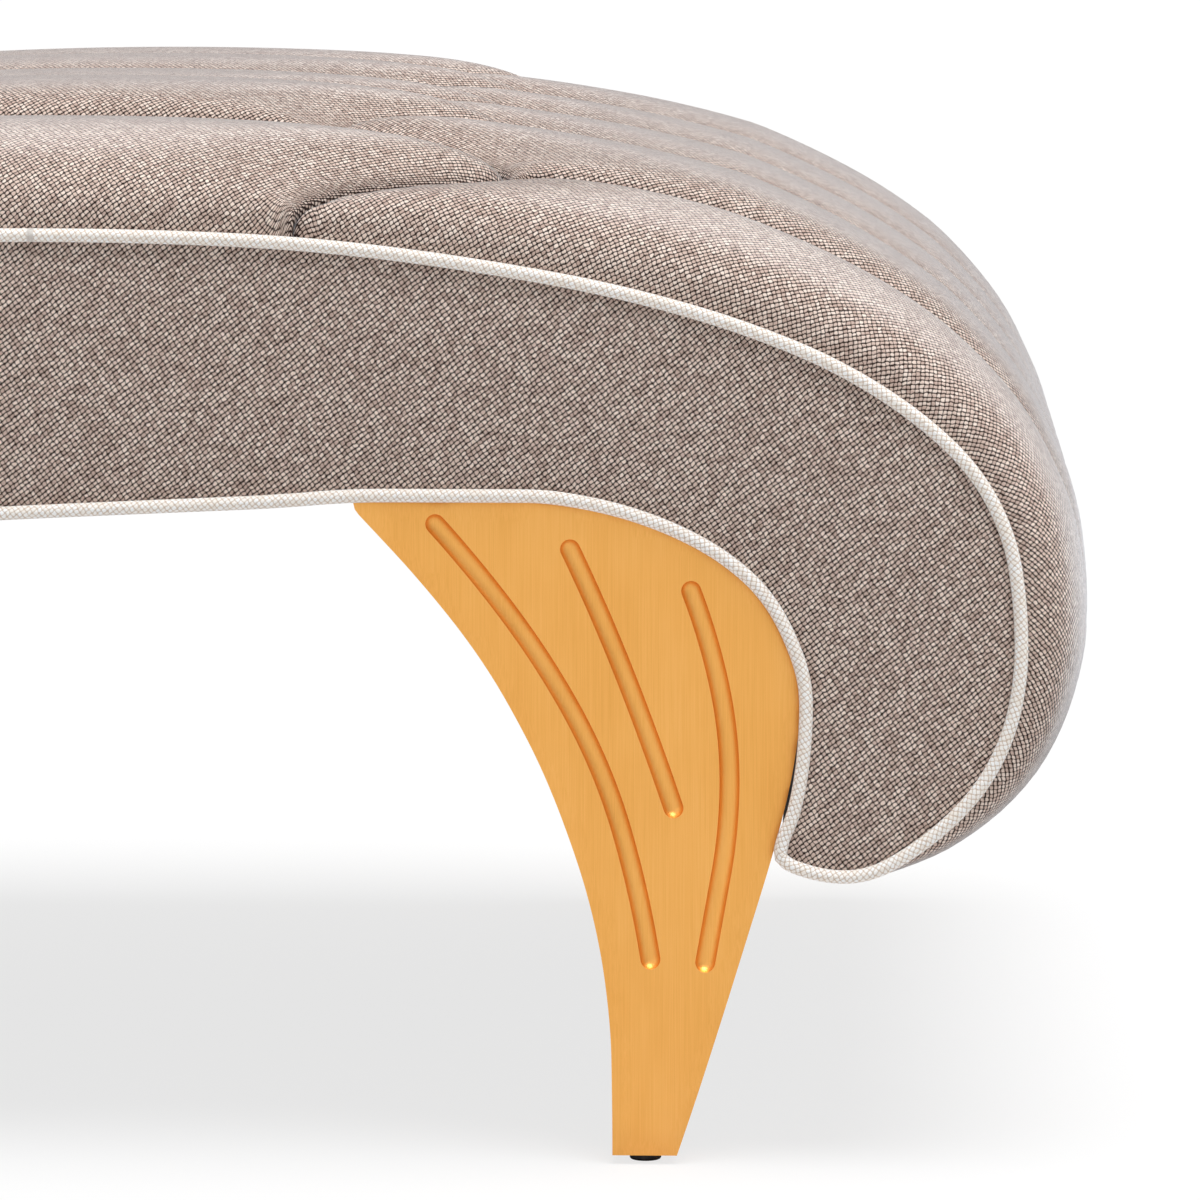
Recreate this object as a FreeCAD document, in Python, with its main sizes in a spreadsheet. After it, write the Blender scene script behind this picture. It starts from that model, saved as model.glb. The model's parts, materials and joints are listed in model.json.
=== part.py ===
# Chaise longue: channelled seat with a rolled head, piped side panels and four fluted metal legs.
# Millimetres. +X points to the foot end, +Y to the sitter's left, +Z up.
# The origin lies on the floor, under the middle of the whole piece.
import FreeCAD, Part
import math
import os
from types import SimpleNamespace

Vector = FreeCAD.Vector

doc = FreeCAD.newDocument("ChaiseLongue")
sheet = doc.addObject("Spreadsheet::Sheet", "Sizes")

# Driving sizes in millimetres, unless the name says count, share or angle
driving_sizes = [
    # Side outline, along the centre of the piping
    ("seat_width", 744),          # between the centre lines of the two piping loops
    ("side_height", 410),         # floor to the piping at its highest point over the foot end
    ("foot_reach", 430),          # foot nose back to that highest point
    ("base_length", 1350),        # foot nose to heel nose
    ("back_overhang", 310),       # heel nose back to the end of the rolled head
    ("back_rise", 418),           # highest seat piping up to the highest head piping
    # Piping and side panels
    ("piping_radius", 3),
    ("piping_side_count", 6),     # flats round the piping
    ("panel_thickness", 8),
    ("soft_clearance", 0.3),      # air left round every soft piece
    # Channels
    ("channel_count", 5),
    ("channel_base", 1.2),        # underside of the channels, below the piping centre
    ("edge_height", 0.5),         # channel edge beside the piping
    ("valley_height", 22),        # sewn valleys, above the piping centre
    ("crest_height", 58),         # long channels between two valleys
    ("side_crest_height", 47),    # long channels beside the piping
    ("end_crest_height", 54),     # end channels between two valleys
    ("end_side_crest_height", 40),
    ("seam_gap", 0.4),            # between two sewn channels
    ("seam_depth", 86),           # zigzag seam, tip to tip
    ("foot_seam_run", 316),       # foot nose back to the tips of the long channels, along the top
    ("head_seam_run", 225),       # head crest down to the tips of the long channels, along the top
    ("crown_facet_count", 7),     # flats across one channel's crown
    ("channel_row_pitch", 72),    # distance between two rows of the long channels' form
    ("end_row_pitch", 26),
    # Deck, webbing and frame
    ("deck_thickness", 29),
    ("webbing_thickness", 1.7),
    ("webbing_width", 50),
    ("webbing_pitch", 105),
    ("frame_thickness", 18),
    ("back_panel_thickness", 5),
    ("dust_cover_thickness", 1.2),
    ("frame_cut_run", 12),        # how far a frame's straight cut stays from the foam in the lip
    ("rail_thickness", 22),
    ("rail_depth", 62),
    ("block_length", 76),
    ("block_depth", 26),
    ("block_width", 66),
    ("rail_gap", 5),              # between a rail and the layer outside it
    # Legs
    ("leg_thickness", 30),
    ("leg_setback", 6.4),         # piping's outer side to the leg's face
    ("leg_foot_height", 4),       # floor to the leg's underside
    ("leg_lip_gap", 4.1),         # leg to the piping's centre line, down the lip
    ("groove_radius", 4.6),
    ("groove_depth", 3.2),
    ("fastener_side_count", 8),   # flats round a screw or bolt, and round its hole
    # Leg plates, bolts and screws
    ("plate_length", 56),
    ("plate_width", 84),
    ("plate_thickness", 4),
    ("plate_setback", 2),         # side panel's inner face to the plate's outer end
    ("bolt_radius", 4),
    ("bolt_length", 34),
    ("bolt_head_radius", 7),
    ("bolt_head_height", 4.5),
    ("bolt_spacing", 32),
    ("bolt_clearance", 0.2),
    ("bolt_inset", 18),           # plate's inner end to the bolts
    ("nut_plate_length", 54),
    ("nut_plate_width", 20),
    ("nut_plate_thickness", 4),
    ("screw_radius", 2.4),
    ("screw_length", 26),
    ("screw_head_radius", 4.6),
    ("screw_head_height", 2.2),
    ("screw_spacing", 34),
    # Glides
    ("glide_radius", 7),
    ("glide_gap", 0.4),           # glide head to the leg above it
    ("stem_radius", 4),
    ("stem_length", 22),
    ("stem_clearance", 0.05),
    ("stem_bore_extra", 3),
    ("cut_overrun", 2),           # how far a cutting shape runs past what it cuts
]
for row, (alias, value) in enumerate(driving_sizes, start=1):
    sheet.set("A%d" % row, alias)
    sheet.set("B%d" % row, str(value))
    sheet.setAlias("B%d" % row, alias)
doc.recompute()
mm = SimpleNamespace(**{alias: float(sheet.get(alias)) for alias, value in driving_sizes})

# Side outline, clockwise as seen from the sitter's right: x as a share of foot_reach behind the foot nose,
# z as a share of side_height, and the heading in degrees
foot_top_shares = [
    ("seat_crest", 1.0, 1.0, 0),
    ("seat_fall", 0.629, 0.980, -7.2),
    ("shoulder", 0.326, 0.918, -16.5),
    ("knee", 0.1314, 0.827, -34),
    ("brow", 0.0314, 0.721, -61),
    ("nose", 0.0, 0.561, -90),
    ("chin", 0.024, 0.443, -116),
    ("jaw", 0.094, 0.356, -142),
    ("lip", 0.179, 0.316, 180),
]
foot_under_shares = [
    ("lip_end", 0.228, 0.326, 160),
    ("lip_back", 0.2435, 0.344, 80),
    ("throat", 0.2293, 0.389, 76.6),
    ("calf", 0.218, 0.50, 90),
    ("hollow", 0.2437, 0.592, 118),
    ("arch", 0.331, 0.677, 152.6),
    ("arch_top", 0.427, 0.7134, 167.5),
    ("seat_flat", 0.505, 0.7237, 180),
    ("seat_flat_end", 0.644, 0.7237, 180),
    ("under_fall", 0.793, 0.715, 182.6),
    ("under_run", 1.037, 0.703, 182.9),
]
belly_height_share = 0.6585
# The back: x as a share of back_overhang in front of the heel nose, z as a share of back_rise above the seat
back_shares = [
    ("back_foot", -0.006, -0.191, 93),
    ("back_low", -0.113, 0.096, 116),
    ("back_mid", -0.290, 0.323, 123),
    ("back_high", -0.468, 0.502, 131),
    ("roll_start", -0.694, 0.617, 166),
    ("roll_nose", -1.0, 0.801, 90),
    ("head_crest", -0.726, 1.0, 0),
    ("rest_top", -0.419, 0.933, -33),
    ("rest_high", -0.097, 0.730, -48),
    ("rest_mid", 0.355, 0.323, -50),
    ("rest_low", 0.742, 0.072, -33),
    ("rest_foot", 1.129, -0.036, -11),
    ("trough", 1.516, -0.062, 0),
]

# Leg outline below the seat, and the centre lines of its grooves, in the same shares as the foot end
leg_back_shares = [
    ("toe_back", 0.415, 0.0098, 90),
    ("shin_back", 0.416, 0.113, 91),
    ("ankle_back", 0.4228, 0.200, 97.7),
    ("calf_low_back", 0.4393, 0.287, 104.7),
    ("calf_back", 0.4658, 0.373, 110.2),
    ("knee_back", 0.5016, 0.460, 117),
    ("thigh_back", 0.5484, 0.5454, 123.8),
    ("thigh_high_back", 0.6114, 0.631, 130.6),
]
leg_tip_angle = 124
leg_tip_run_share = 0.03          # seat flat to the leg's tip, over foot_reach
leg_front_shares = [
    ("ankle_front", 0.291, 0.200, -106.9),
    ("toe_front", 0.3488, 0.0098, -108.8),
]
groove_shares = [
    [(0.595, 0.6924, -48), (0.4565, 0.4929, -61.2), (0.376, 0.224, -81)],
    [(0.458, 0.666, -64.5), (0.3526, 0.388, -71.5)],
    [(0.335, 0.622, -69), (0.2956, 0.4117, -90.5), (0.320, 0.221, -99.8)],
]

# How full the end channels are at stops of the outline: beside the piping, and between two valleys
foot_fullness_shares = [
    ("seat_fall", 1.0, 1.0),
    ("shoulder", 1.0, 1.0),
    ("knee", 0.88, 0.83),
    ("brow", 0.73, 0.63),
    ("nose", 0.72, 0.61),
    ("chin", 0.55, 0.46),
    ("jaw", 0.34, 0.31),
    ("lip", 0.06, 0.06),
]
head_fullness_shares = [
    ("roll_start", 0.06, 0.06),
    ("roll_nose", 0.67, 0.61),
    ("head_crest", 0.84, 0.78),
    ("rest_top", 1.0, 1.0),
]
# Width of a channel at the rows of the zigzag seam, from its tip to its full width
seam_width_shares = [0.08, 0.27, 0.5, 0.73, 0.92]
tip_rise_share = 0.44             # highest rise of a channel, over its width there
side_crest_place_share = 0.58     # where an end channel beside the piping is highest
flat_turn = 1e-6                  # radians, under which an arc counts as straight
halving_count = 40                # steps of a search along the outline
meeting_gap = 1e-4                # under which two outline ends count as one point


def left_of(direction):
    return Vector(-direction.z, 0, direction.x)


def towards(angle):
    return Vector(math.cos(math.radians(angle)), 0, math.sin(math.radians(angle)))


# Point and direction after a run along an arc; bend is one over the radius, positive to the left
def follow(point, direction, bend, run):
    turn = bend * run
    if abs(turn) < flat_turn:
        return point + direction * run, direction
    normal = left_of(direction)
    turned = direction * math.cos(turn) + normal * math.sin(turn)
    return point + (normal - left_of(turned)) * (1 / bend), turned


# The arc from a point in a given direction to a target
def arc_to(point, direction, target):
    chord = target - point
    side = chord.dot(left_of(direction))
    ahead = chord.dot(direction)
    turn = 2 * math.atan2(side, ahead)
    if abs(turn) < flat_turn:
        return (point, direction, 0, chord.Length)
    bend = 2 * side / chord.dot(chord)
    return (point, direction, bend, turn / bend)


# Two tangent arcs of like length between two points with given directions
def two_arcs(start, start_direction, stop, stop_direction):
    chord = stop - start
    both = start_direction + stop_direction
    spread = 2 * (1 - start_direction.dot(stop_direction))
    if spread < flat_turn:
        reach = chord.dot(chord) / (4 * chord.dot(stop_direction))
    else:
        along = chord.dot(both)
        reach = (math.sqrt(along * along + spread * chord.dot(chord)) - along) / spread
    middle = (start + stop + (start_direction - stop_direction) * reach) * 0.5
    first = arc_to(start, start_direction, middle)
    arrival = follow(*first)[1]
    return [first, arc_to(middle, arrival, stop)]


# Arcs through stops of (name, x, z, heading), and the run at each stop
def arc_path(stops, closed):
    arcs = []
    marks = {}
    run = 0
    last = len(stops) if closed else len(stops) - 1
    for index in range(last):
        name, x, z, angle = stops[index]
        next_name, next_x, next_z, next_angle = stops[(index + 1) % len(stops)]
        marks[name] = run
        pair = two_arcs(Vector(x, 0, z), towards(angle), Vector(next_x, 0, next_z), towards(next_angle))
        arcs.extend(pair)
        run += pair[0][3] + pair[1][3]
    marks[stops[-1][0]] = marks.get(stops[-1][0], run)
    return arcs, marks, run


# Nose of the foot end in the final frame: the whole piece is centred, channels included
nose_share = dict((row[0], row[2]) for row in foot_fullness_shares)["nose"]
roll_share = dict((row[0], row[2]) for row in head_fullness_shares)["roll_nose"]
foot_x = (mm.base_length + mm.back_overhang + mm.end_crest_height * (roll_share - nose_share)) / 2


def foot_point(name, x_share, z_share, angle):
    return (name, foot_x - x_share * mm.foot_reach, z_share * mm.side_height, angle)


# The heel is the foot end mirrored, met in the other order
def heel_point(name, x_share, z_share, angle):
    return (name + "_heel", foot_x - mm.base_length + x_share * mm.foot_reach,
            z_share * mm.side_height, -angle)


def back_point(name, x_share, z_share, angle):
    return (name, foot_x - mm.base_length + x_share * mm.back_overhang,
            mm.side_height + z_share * mm.back_rise, angle)


outline_stops = [foot_point(*stop) for stop in foot_top_shares + foot_under_shares]
outline_stops.append(("belly", foot_x - mm.base_length / 2, belly_height_share * mm.side_height, 180))
heel_shares = foot_under_shares[::-1] + foot_top_shares[:4:-1]
outline_stops += [heel_point(*stop) for stop in heel_shares]
outline_stops += [back_point(*stop) for stop in back_shares]
outline, mark, outline_run = arc_path(outline_stops, True)


# Point, direction and outward normal at a run along the outline
def place(run, height=0):
    rest = run % outline_run
    for point, direction, bend, length in outline:
        if rest <= length:
            break
        rest -= length
    at, heading = follow(point, direction, bend, rest)
    return at + left_of(heading) * height, heading


# Pieces of the outline between two runs, at a height above it, each as (start, middle, end)
def stretch(start, stop, height):
    if stop < start:
        return [(last, via, first) for first, via, last in reversed(stretch(stop, start, height))]
    pieces = []
    passed = 0
    for turn in range(3):
        for point, direction, bend, length in outline:
            begin = max(start, passed)
            end = min(stop, passed + length)
            if end - begin > meeting_gap:
                ends = []
                for run in (begin, (begin + end) / 2, end):
                    at, heading = follow(point, direction, bend, run - passed)
                    ends.append(at + left_of(heading) * height)
                if abs(bend) * length < flat_turn:
                    ends[1] = None
                pieces.append(tuple(ends))
            passed += length
    return pieces


# Closed outline of stretches joined by straight lines
def closed_outline(spans):
    pieces = []
    for start, stop, height in spans:
        following = stretch(start, stop, height)
        if pieces and pieces[-1][2].distanceToPoint(following[0][0]) > meeting_gap:
            pieces.append((pieces[-1][2], None, following[0][0]))
        pieces.extend(following)
    if pieces[-1][2].distanceToPoint(pieces[0][0]) > meeting_gap:
        pieces.append((pieces[-1][2], None, pieces[0][0]))
    return pieces


# Open arcs as pieces of (start, middle, end)
def open_outline(arcs):
    pieces = []
    for point, direction, bend, length in arcs:
        via = follow(point, direction, bend, length / 2)[0] if abs(bend) * length > flat_turn else None
        pieces.append((point, via, follow(point, direction, bend, length)[0]))
    return pieces


def edge_of(piece):
    first, via, last = piece
    if via is None:
        return Part.LineSegment(first, last).toShape()
    return Part.Arc(first, via, last).toShape()


def check_volume(name, shape, expected_solids=None):
    if shape.isNull() or not shape.isValid():
        raise RuntimeError(name + " has no valid shape")
    if expected_solids is not None and len(shape.Solids) != expected_solids:
        raise RuntimeError("%s has %d solids" % (name, len(shape.Solids)))


sub_parts = []


def keep(feature):
    sub_parts.append(feature)
    return feature


def origin_plane(body, role):
    return [plane for plane in body.Origin.OriginFeatures if plane.Role == role][0]


# Sketch of an outline on the body's XZ plane
def draw(body, name, pieces):
    sketch = body.newObject("Sketcher::SketchObject", name)
    sketch.AttachmentSupport = [(origin_plane(body, "XZ_Plane"), "")]
    sketch.MapMode = "FlatFace"
    for first, via, last in pieces:
        start = Vector(first.x, first.z, 0)
        stop = Vector(last.x, last.z, 0)
        if via is None:
            sketch.addGeometry(Part.LineSegment(start, stop), False)
            continue
        middle = Vector(via.x, via.z, 0)
        if (middle - start).cross(stop - start).z > 0:
            start, stop = stop, start
        sketch.addGeometry(Part.Arc(stop, middle, start), False)
    return sketch


# A slab of an outline, with its thickness across the seat from one cell of the sheet
def slab(name, pieces, thickness, middle="0"):
    body = doc.addObject("PartDesign::Body", name)
    body.Label = name
    pad = body.newObject("PartDesign::Pad", name + "_pad")
    pad.Profile = draw(body, name + "_outline", pieces)
    pad.SideType = "Symmetric"
    pad.setExpression("Length", thickness)
    body.setExpression(".Placement.Base.y", middle)
    return body


# Levels below the piping's centre line, from the channels inwards
panel_edge = mm.piping_radius + mm.soft_clearance
deck_top = mm.channel_base + mm.soft_clearance
deck_under = deck_top + mm.deck_thickness
webbing_top = deck_under + mm.soft_clearance
webbing_under = webbing_top + mm.webbing_thickness
frame_top = webbing_under + mm.soft_clearance
frame_bottom = mm.dust_cover_thickness + mm.soft_clearance
frame_back = mm.back_panel_thickness + mm.soft_clearance

# Half widths across the seat
side = mm.seat_width / 2
channel_count = int(mm.channel_count)
pitch = mm.seat_width / channel_count
inner_half = side - mm.panel_thickness - mm.soft_clearance
cover_half = side - panel_edge
hidden_width = "Sizes.seat_width - 2 * Sizes.panel_thickness - 2 * Sizes.soft_clearance"
panel_middle = "(Sizes.seat_width - Sizes.panel_thickness) / 2"
frame_middle = "(" + hidden_width + " - Sizes.frame_thickness) / 2"


# Rows of the channels, as runs along the outline, from the end of the roll to the foot lip
def seam_row(width_share):
    return mm.seam_depth * (1 - math.cos(math.pi * width_share)) / 2


def even_rows(start, stop, pitch):
    count = max(2, round((stop - start) / pitch))
    return [start + (stop - start) * step / count for step in range(count + 1)]


foot_tip = outline_run + mark["nose"] - mm.foot_seam_run
head_tip = mark["head_crest"] + mm.head_seam_run
foot_lip = outline_run + mark["lip"]
roll_end = mark["roll_start"]
foot_seam_rows = [foot_tip - seam_row(share) for share in reversed(seam_width_shares)]
head_seam_rows = [head_tip + seam_row(share) for share in seam_width_shares]
long_middle_rows = even_rows(head_tip + mm.seam_depth, foot_tip - mm.seam_depth, mm.channel_row_pitch)
long_rows = head_seam_rows + long_middle_rows + foot_seam_rows
foot_rows = foot_seam_rows + even_rows(foot_tip, foot_lip, mm.end_row_pitch)
head_rows = even_rows(roll_end, head_tip, mm.end_row_pitch) + head_seam_rows
all_rows = sorted(set(head_rows + long_rows + foot_rows))


# Share of its full width that a long channel has at a run
def long_share(run):
    to_tip = min(run - head_tip, foot_tip - run)
    if to_tip >= mm.seam_depth:
        return 1
    return math.acos(1 - 2 * max(0, to_tip) / mm.seam_depth) / math.pi


def fullness(run, beside_piping):
    table = []
    for start, rows in ((0, head_fullness_shares), (outline_run, foot_fullness_shares)):
        for name, side_share, inner_share in rows:
            table.append((start + mark[name], side_share if beside_piping else inner_share))
    for (start, first), (stop, second) in zip(table, table[1:]):
        if run <= stop:
            return first + (second - first) * max(0, run - start) / (stop - start)
    return table[-1][1]


# Height of a channel's edge: it climbs from the piping to the full valley over half a channel
def edge_height(across, run):
    from_side = max(0, side - abs(across))
    climb = math.sin(math.pi / 2 * min(1, 2 * from_side / pitch))
    return mm.edge_height + (mm.valley_height - mm.edge_height) * climb * fullness(run, False)


# Points of a circle's arc through three points of a row, from the first to the last
def crown(first, top, last, facets):
    arc = Part.Arc(Vector(first[0], first[1], 0), Vector(top[0], top[1], 0), Vector(last[0], last[1], 0))
    if abs(arc.value(arc.FirstParameter).x - first[0]) > meeting_gap:
        begin, end = arc.LastParameter, arc.FirstParameter
    else:
        begin, end = arc.FirstParameter, arc.LastParameter
    points = [arc.value(begin + (end - begin) * step / facets) for step in range(facets + 1)]
    return [(point.x, point.y) for point in points]


# Flat triangles between two rows of points, cut along the shorter diagonal
def skin(row, next_row):
    faces = []
    for index, first in enumerate(row):
        following = (index + 1) % len(row)
        second = row[following]
        third = next_row[following]
        fourth = next_row[index]
        if first.distanceToPoint(third) < second.distanceToPoint(fourth):
            triangles = [(first, second, third), (first, third, fourth)]
        else:
            triangles = [(first, second, fourth), (second, third, fourth)]
        for one, two, three in triangles:
            faces.append(Part.Face(Part.makePolygon([one, two, three, one])))
    return faces


# One channel: a straight underside, two short sides and a crown along an arc, at each of its rows
def channel(name, rows, middle, width_at, crest, side_crest, side_place_share):
    beside_piping = abs(middle) > side - pitch / 2 - meeting_gap
    over_piping = abs(middle) > side - meeting_gap
    place_share = 0.5
    if over_piping:
        place_share = side_place_share if middle < 0 else 1 - side_place_share
    sections = []
    for run in rows:
        half = pitch / 2 * width_at(run)
        low = max(middle - half, -side)
        high = min(middle + half, side)
        low_height = edge_height(low, run)
        high_height = edge_height(high, run)
        low = max(low + mm.seam_gap / 2, -cover_half)
        high = min(high - mm.seam_gap / 2, cover_half)
        full = (side_crest if beside_piping else crest) * fullness(run, beside_piping)
        sides = low_height + (high_height - low_height) * place_share
        rise = min(full - sides, tip_rise_share * (high - low))
        top = (low + (high - low) * place_share, sides + rise)
        section = crown((low, low_height), top, (high, high_height), int(mm.crown_facet_count))
        section = [(low, -mm.channel_base)] + section + [(high, -mm.channel_base)]
        sections.append([place(run, height)[0] + Vector(0, across, 0) for across, height in section])
    faces = [Part.Face(Part.makePolygon(points + points[:1])) for points in (sections[0], sections[-1])]
    for row, next_row in zip(sections, sections[1:]):
        faces.extend(skin(row, next_row))
    shell = Part.makeShell(faces)
    shell.sewShape()
    solid = Part.makeSolid(shell)
    if solid.Volume < 0:
        solid.reverse()
    feature = doc.addObject("Part::Feature", name)
    feature.Label = name
    feature.Shape = solid
    check_volume(name, feature.Shape, 1)
    return keep(feature)


for index in range(channel_count):
    channel("seat_channel_%d" % (index + 1), long_rows, (index + 0.5) * pitch - side, long_share,
            mm.crest_height, mm.side_crest_height, 0.5)
for index in range(channel_count + 1):
    for end, rows in (("foot", foot_rows), ("head", head_rows)):
        channel("%s_channel_%d" % (end, index + 1), rows, index * pitch - side,
                lambda run: 1 - long_share(run), mm.end_crest_height, mm.end_side_crest_height,
                side_crest_place_share)


def sheet_sign(sign):
    return "-" if sign < 0 else ""


# Side panels and their piping
piping_side_count = int(mm.piping_side_count)
for name, sign in (("right", -1), ("left", 1)):
    pieces = closed_outline([(0, outline_run, -panel_edge)])
    keep(slab("side_panel_" + name, pieces, "Sizes.panel_thickness", sheet_sign(sign) + panel_middle))
    path = Part.Wire([edge_of(piece) for piece in closed_outline([(0, outline_run, 0)])])
    start, heading = place(0)
    points = []
    for step in range(piping_side_count):
        angle = 2 * math.pi * (step + 0.5) / piping_side_count
        points.append(start + left_of(heading) * (mm.piping_radius * math.cos(angle))
                      + Vector(0, mm.piping_radius * math.sin(angle), 0))
    ring = Part.makePolygon(points + points[:1])
    piping = doc.addObject("Part::Feature", "piping_" + name)
    piping.Label = "piping_" + name
    piping.Shape = path.makePipeShell([ring], True, False)
    piping.Placement.Base.y = sign * side
    check_volume(piping.Label, piping.Shape, 1)
    keep(piping)


# Deck foam: flat between the channels' rows, with a roll that fills the foot lip
def row_line(start, stop, height):
    points = [place(run, height)[0] for run in all_rows if start <= run <= stop]
    return [(first, None, second) for first, second in zip(points, points[1:])]


deck_head = min(all_rows, key=lambda run: abs(run - (mark["roll_start"] + mark["roll_nose"]) / 2))
deck_foot = outline_run + mark["chin"]
top_line = row_line(roll_end, foot_lip, -deck_top)
lip_turn = stretch(mark["lip"], mark["throat"], -frame_bottom)
deck_line = stretch(deck_foot, deck_head, -deck_under)
deck = top_line + [(top_line[-1][2], None, lip_turn[0][0])] + lip_turn
deck += [(deck[-1][2], None, deck_line[0][0])] + deck_line
deck += [(deck[-1][2], None, deck[0][0])]
keep(slab("deck_foam", deck, hidden_width))

# Heel roll, the foam in the mirrored lip behind the rear legs
heel_spans = [
    (mark["throat_heel"], mark["lip_heel"], -frame_bottom),
    (mark["lip_heel"], mark["chin_heel"], -frame_back),
]
keep(slab("heel_foam", closed_outline(heel_spans), hidden_width))

# Plywood side frames, cut straight above both lips and below the roll
cut_run = mm.frame_cut_run
frame_spans = [
    (deck_head + cut_run, outline_run + mark["chin"] - cut_run, -frame_top),
    (mark["throat"] + cut_run, mark["throat_heel"] - cut_run, -frame_bottom),
    (mark["chin_heel"] + cut_run, mark["roll_start"] - cut_run, -frame_back),
]
for name, sign in (("right", -1), ("left", 1)):
    keep(slab("side_frame_" + name, closed_outline(frame_spans), "Sizes.frame_thickness",
              sheet_sign(sign) + frame_middle))

# Webbing straps across the two frames
straps = []
first_strap = head_tip
last_strap = outline_run + mark["shoulder"]
for run in even_rows(first_strap, last_strap, mm.webbing_pitch):
    strap_start = run - mm.webbing_width / 2
    strap_end = run + mm.webbing_width / 2
    loop = closed_outline([(strap_start, strap_end, -webbing_top), (strap_end, strap_start, -webbing_under)])
    face = Part.Face(Part.Wire([edge_of(piece) for piece in loop]))
    face.translate(Vector(0, -inner_half, 0))
    straps.append(face.extrude(Vector(0, 2 * inner_half, 0)))
webbing = doc.addObject("Part::Feature", "webbing")
webbing.Label = "webbing"
webbing.Shape = Part.makeCompound(straps)
keep(webbing)

# Outside back panel
back_start = mark["lip_heel"] + mm.soft_clearance
back_end = mark["roll_start"] - mm.soft_clearance
back_spans = [(back_start, back_end, 0), (back_end, back_start, -mm.back_panel_thickness)]
keep(slab("back_panel", closed_outline(back_spans), hidden_width))

# Dust cover under the seat, notched round the four leg plates
cover_start = mark["lip"] + mm.soft_clearance
cover_end = mark["lip_heel"] - mm.soft_clearance
cover_spans = [(cover_start, cover_end, 0), (cover_end, cover_start, -mm.dust_cover_thickness)]
dust_cover = slab("dust_cover", closed_outline(cover_spans), hidden_width)

leg_middle = side + mm.piping_radius - mm.leg_setback - mm.leg_thickness / 2
plate_centre_run = (mark["seat_flat"] + mark["seat_flat_end"]) / 2
plate_x = place(plate_centre_run)[0].x
flat_z = place(plate_centre_run)[0].z
heel_plate_run = (mark["seat_flat_heel"] + mark["seat_flat_end_heel"]) / 2
heel_plate_x = place(heel_plate_run)[0].x
plate_top = flat_z + frame_bottom
plate_outer = inner_half - mm.plate_setback
plate_inner = plate_outer - mm.plate_width
notch = dust_cover.newObject("Sketcher::SketchObject", "dust_cover_notches")
notch.AttachmentSupport = [(origin_plane(dust_cover, "XY_Plane"), "")]
notch.MapMode = "FlatFace"
notch_half = mm.plate_length / 2 + mm.soft_clearance
for centre_x in (plate_x, heel_plate_x):
    for sign in (-1, 1):
        points = [(centre_x - notch_half, plate_inner - mm.soft_clearance),
                  (centre_x + notch_half, plate_inner - mm.soft_clearance),
                  (centre_x + notch_half, side), (centre_x - notch_half, side)]
        for (x1, y1), (x2, y2) in zip(points, points[1:] + points[:1]):
            notch.addGeometry(Part.LineSegment(Vector(x1, sign * y1, 0), Vector(x2, sign * y2, 0)), False)
pocket = dust_cover.newObject("PartDesign::Pocket", "dust_cover_notch_cut")
pocket.Profile = notch
pocket.Type = "ThroughAll"
pocket.SideType = "Symmetric"
keep(dust_cover)


# Cross rails between the frames, lying along the outline or standing on edge
def rail(name, run, outside, depth, on_edge):
    box = doc.addObject("Part::Box", name)
    box.Label = name
    box.Length = depth
    box.setExpression("Width", hidden_width + " - 2 * Sizes.frame_thickness")
    box.setExpression("Height", "Sizes.rail_thickness")
    reach = depth if on_edge else mm.rail_thickness
    at, heading = place(run, -outside - mm.rail_gap - reach / 2)
    angle = math.degrees(math.atan2(heading.z, heading.x)) + (90 if on_edge else 0)
    turn = FreeCAD.Rotation(Vector(0, -1, 0), angle)
    corner = Vector(-depth / 2, -(inner_half - mm.frame_thickness), -mm.rail_thickness / 2)
    box.Placement = FreeCAD.Placement(at + turn.multVec(corner), turn)
    return keep(box)


block_clear = mm.block_length / 2 + mm.rail_thickness / 2 + mm.rail_gap
rail("foot_rail", mark["nose"], frame_top, mm.rail_depth, False)
rail("heel_rail", mark["nose_heel"], frame_back, mm.rail_depth, True)
rail("back_low_rail", mark["back_low"], frame_back, mm.rail_depth, False)
rail("back_high_rail", mark["back_high"], frame_back, mm.rail_depth, False)
rail("rest_rail", mark["rest_low"], frame_top, mm.rail_depth, False)
rail("head_rail", mark["head_crest"], frame_top, mm.rail_depth, True)


# Height between a frame's lower and upper edges over a place on the underside
def frame_room(run):
    low = place(run, -frame_bottom)[0]
    start = mark["rest_top"]
    stop = outline_run + mark["knee"]
    for step in range(halving_count):
        middle = (start + stop) / 2
        if place(middle, -frame_top)[0].x < low.x:
            start = middle
        else:
            stop = middle
    return place(start, -frame_top)[0].z - low.z


# The rails under the seat are as deep as the frames leave room for
for name, run in (("front_leg_rail", plate_centre_run + block_clear), ("seat_rail", mark["belly"]),
                  ("rear_leg_rail", heel_plate_run - block_clear)):
    rail(name, run, frame_bottom, frame_room(run) - 2 * mm.rail_gap, True)


# A screw, a bolt or a hole for one, with as many flats as the sheet says
def prism(name, radius, height, at, downwards=False):
    part = doc.addObject("Part::Prism", name)
    part.Polygon = int(mm.fastener_side_count)
    part.setExpression("Circumradius", radius)
    part.setExpression("Height", height)
    turn = FreeCAD.Rotation(Vector(1, 0, 0), 180) if downwards else FreeCAD.Rotation()
    part.Placement = FreeCAD.Placement(at, turn)
    return part


def joined(kind, name, shapes):
    feature = doc.addObject(kind, name)
    feature.Label = name
    feature.Shapes = shapes
    return feature


def cut_from(name, base, tool):
    feature = doc.addObject("Part::Cut", name)
    feature.Label = name
    feature.Base = base
    feature.Tool = tool
    return feature


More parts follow.
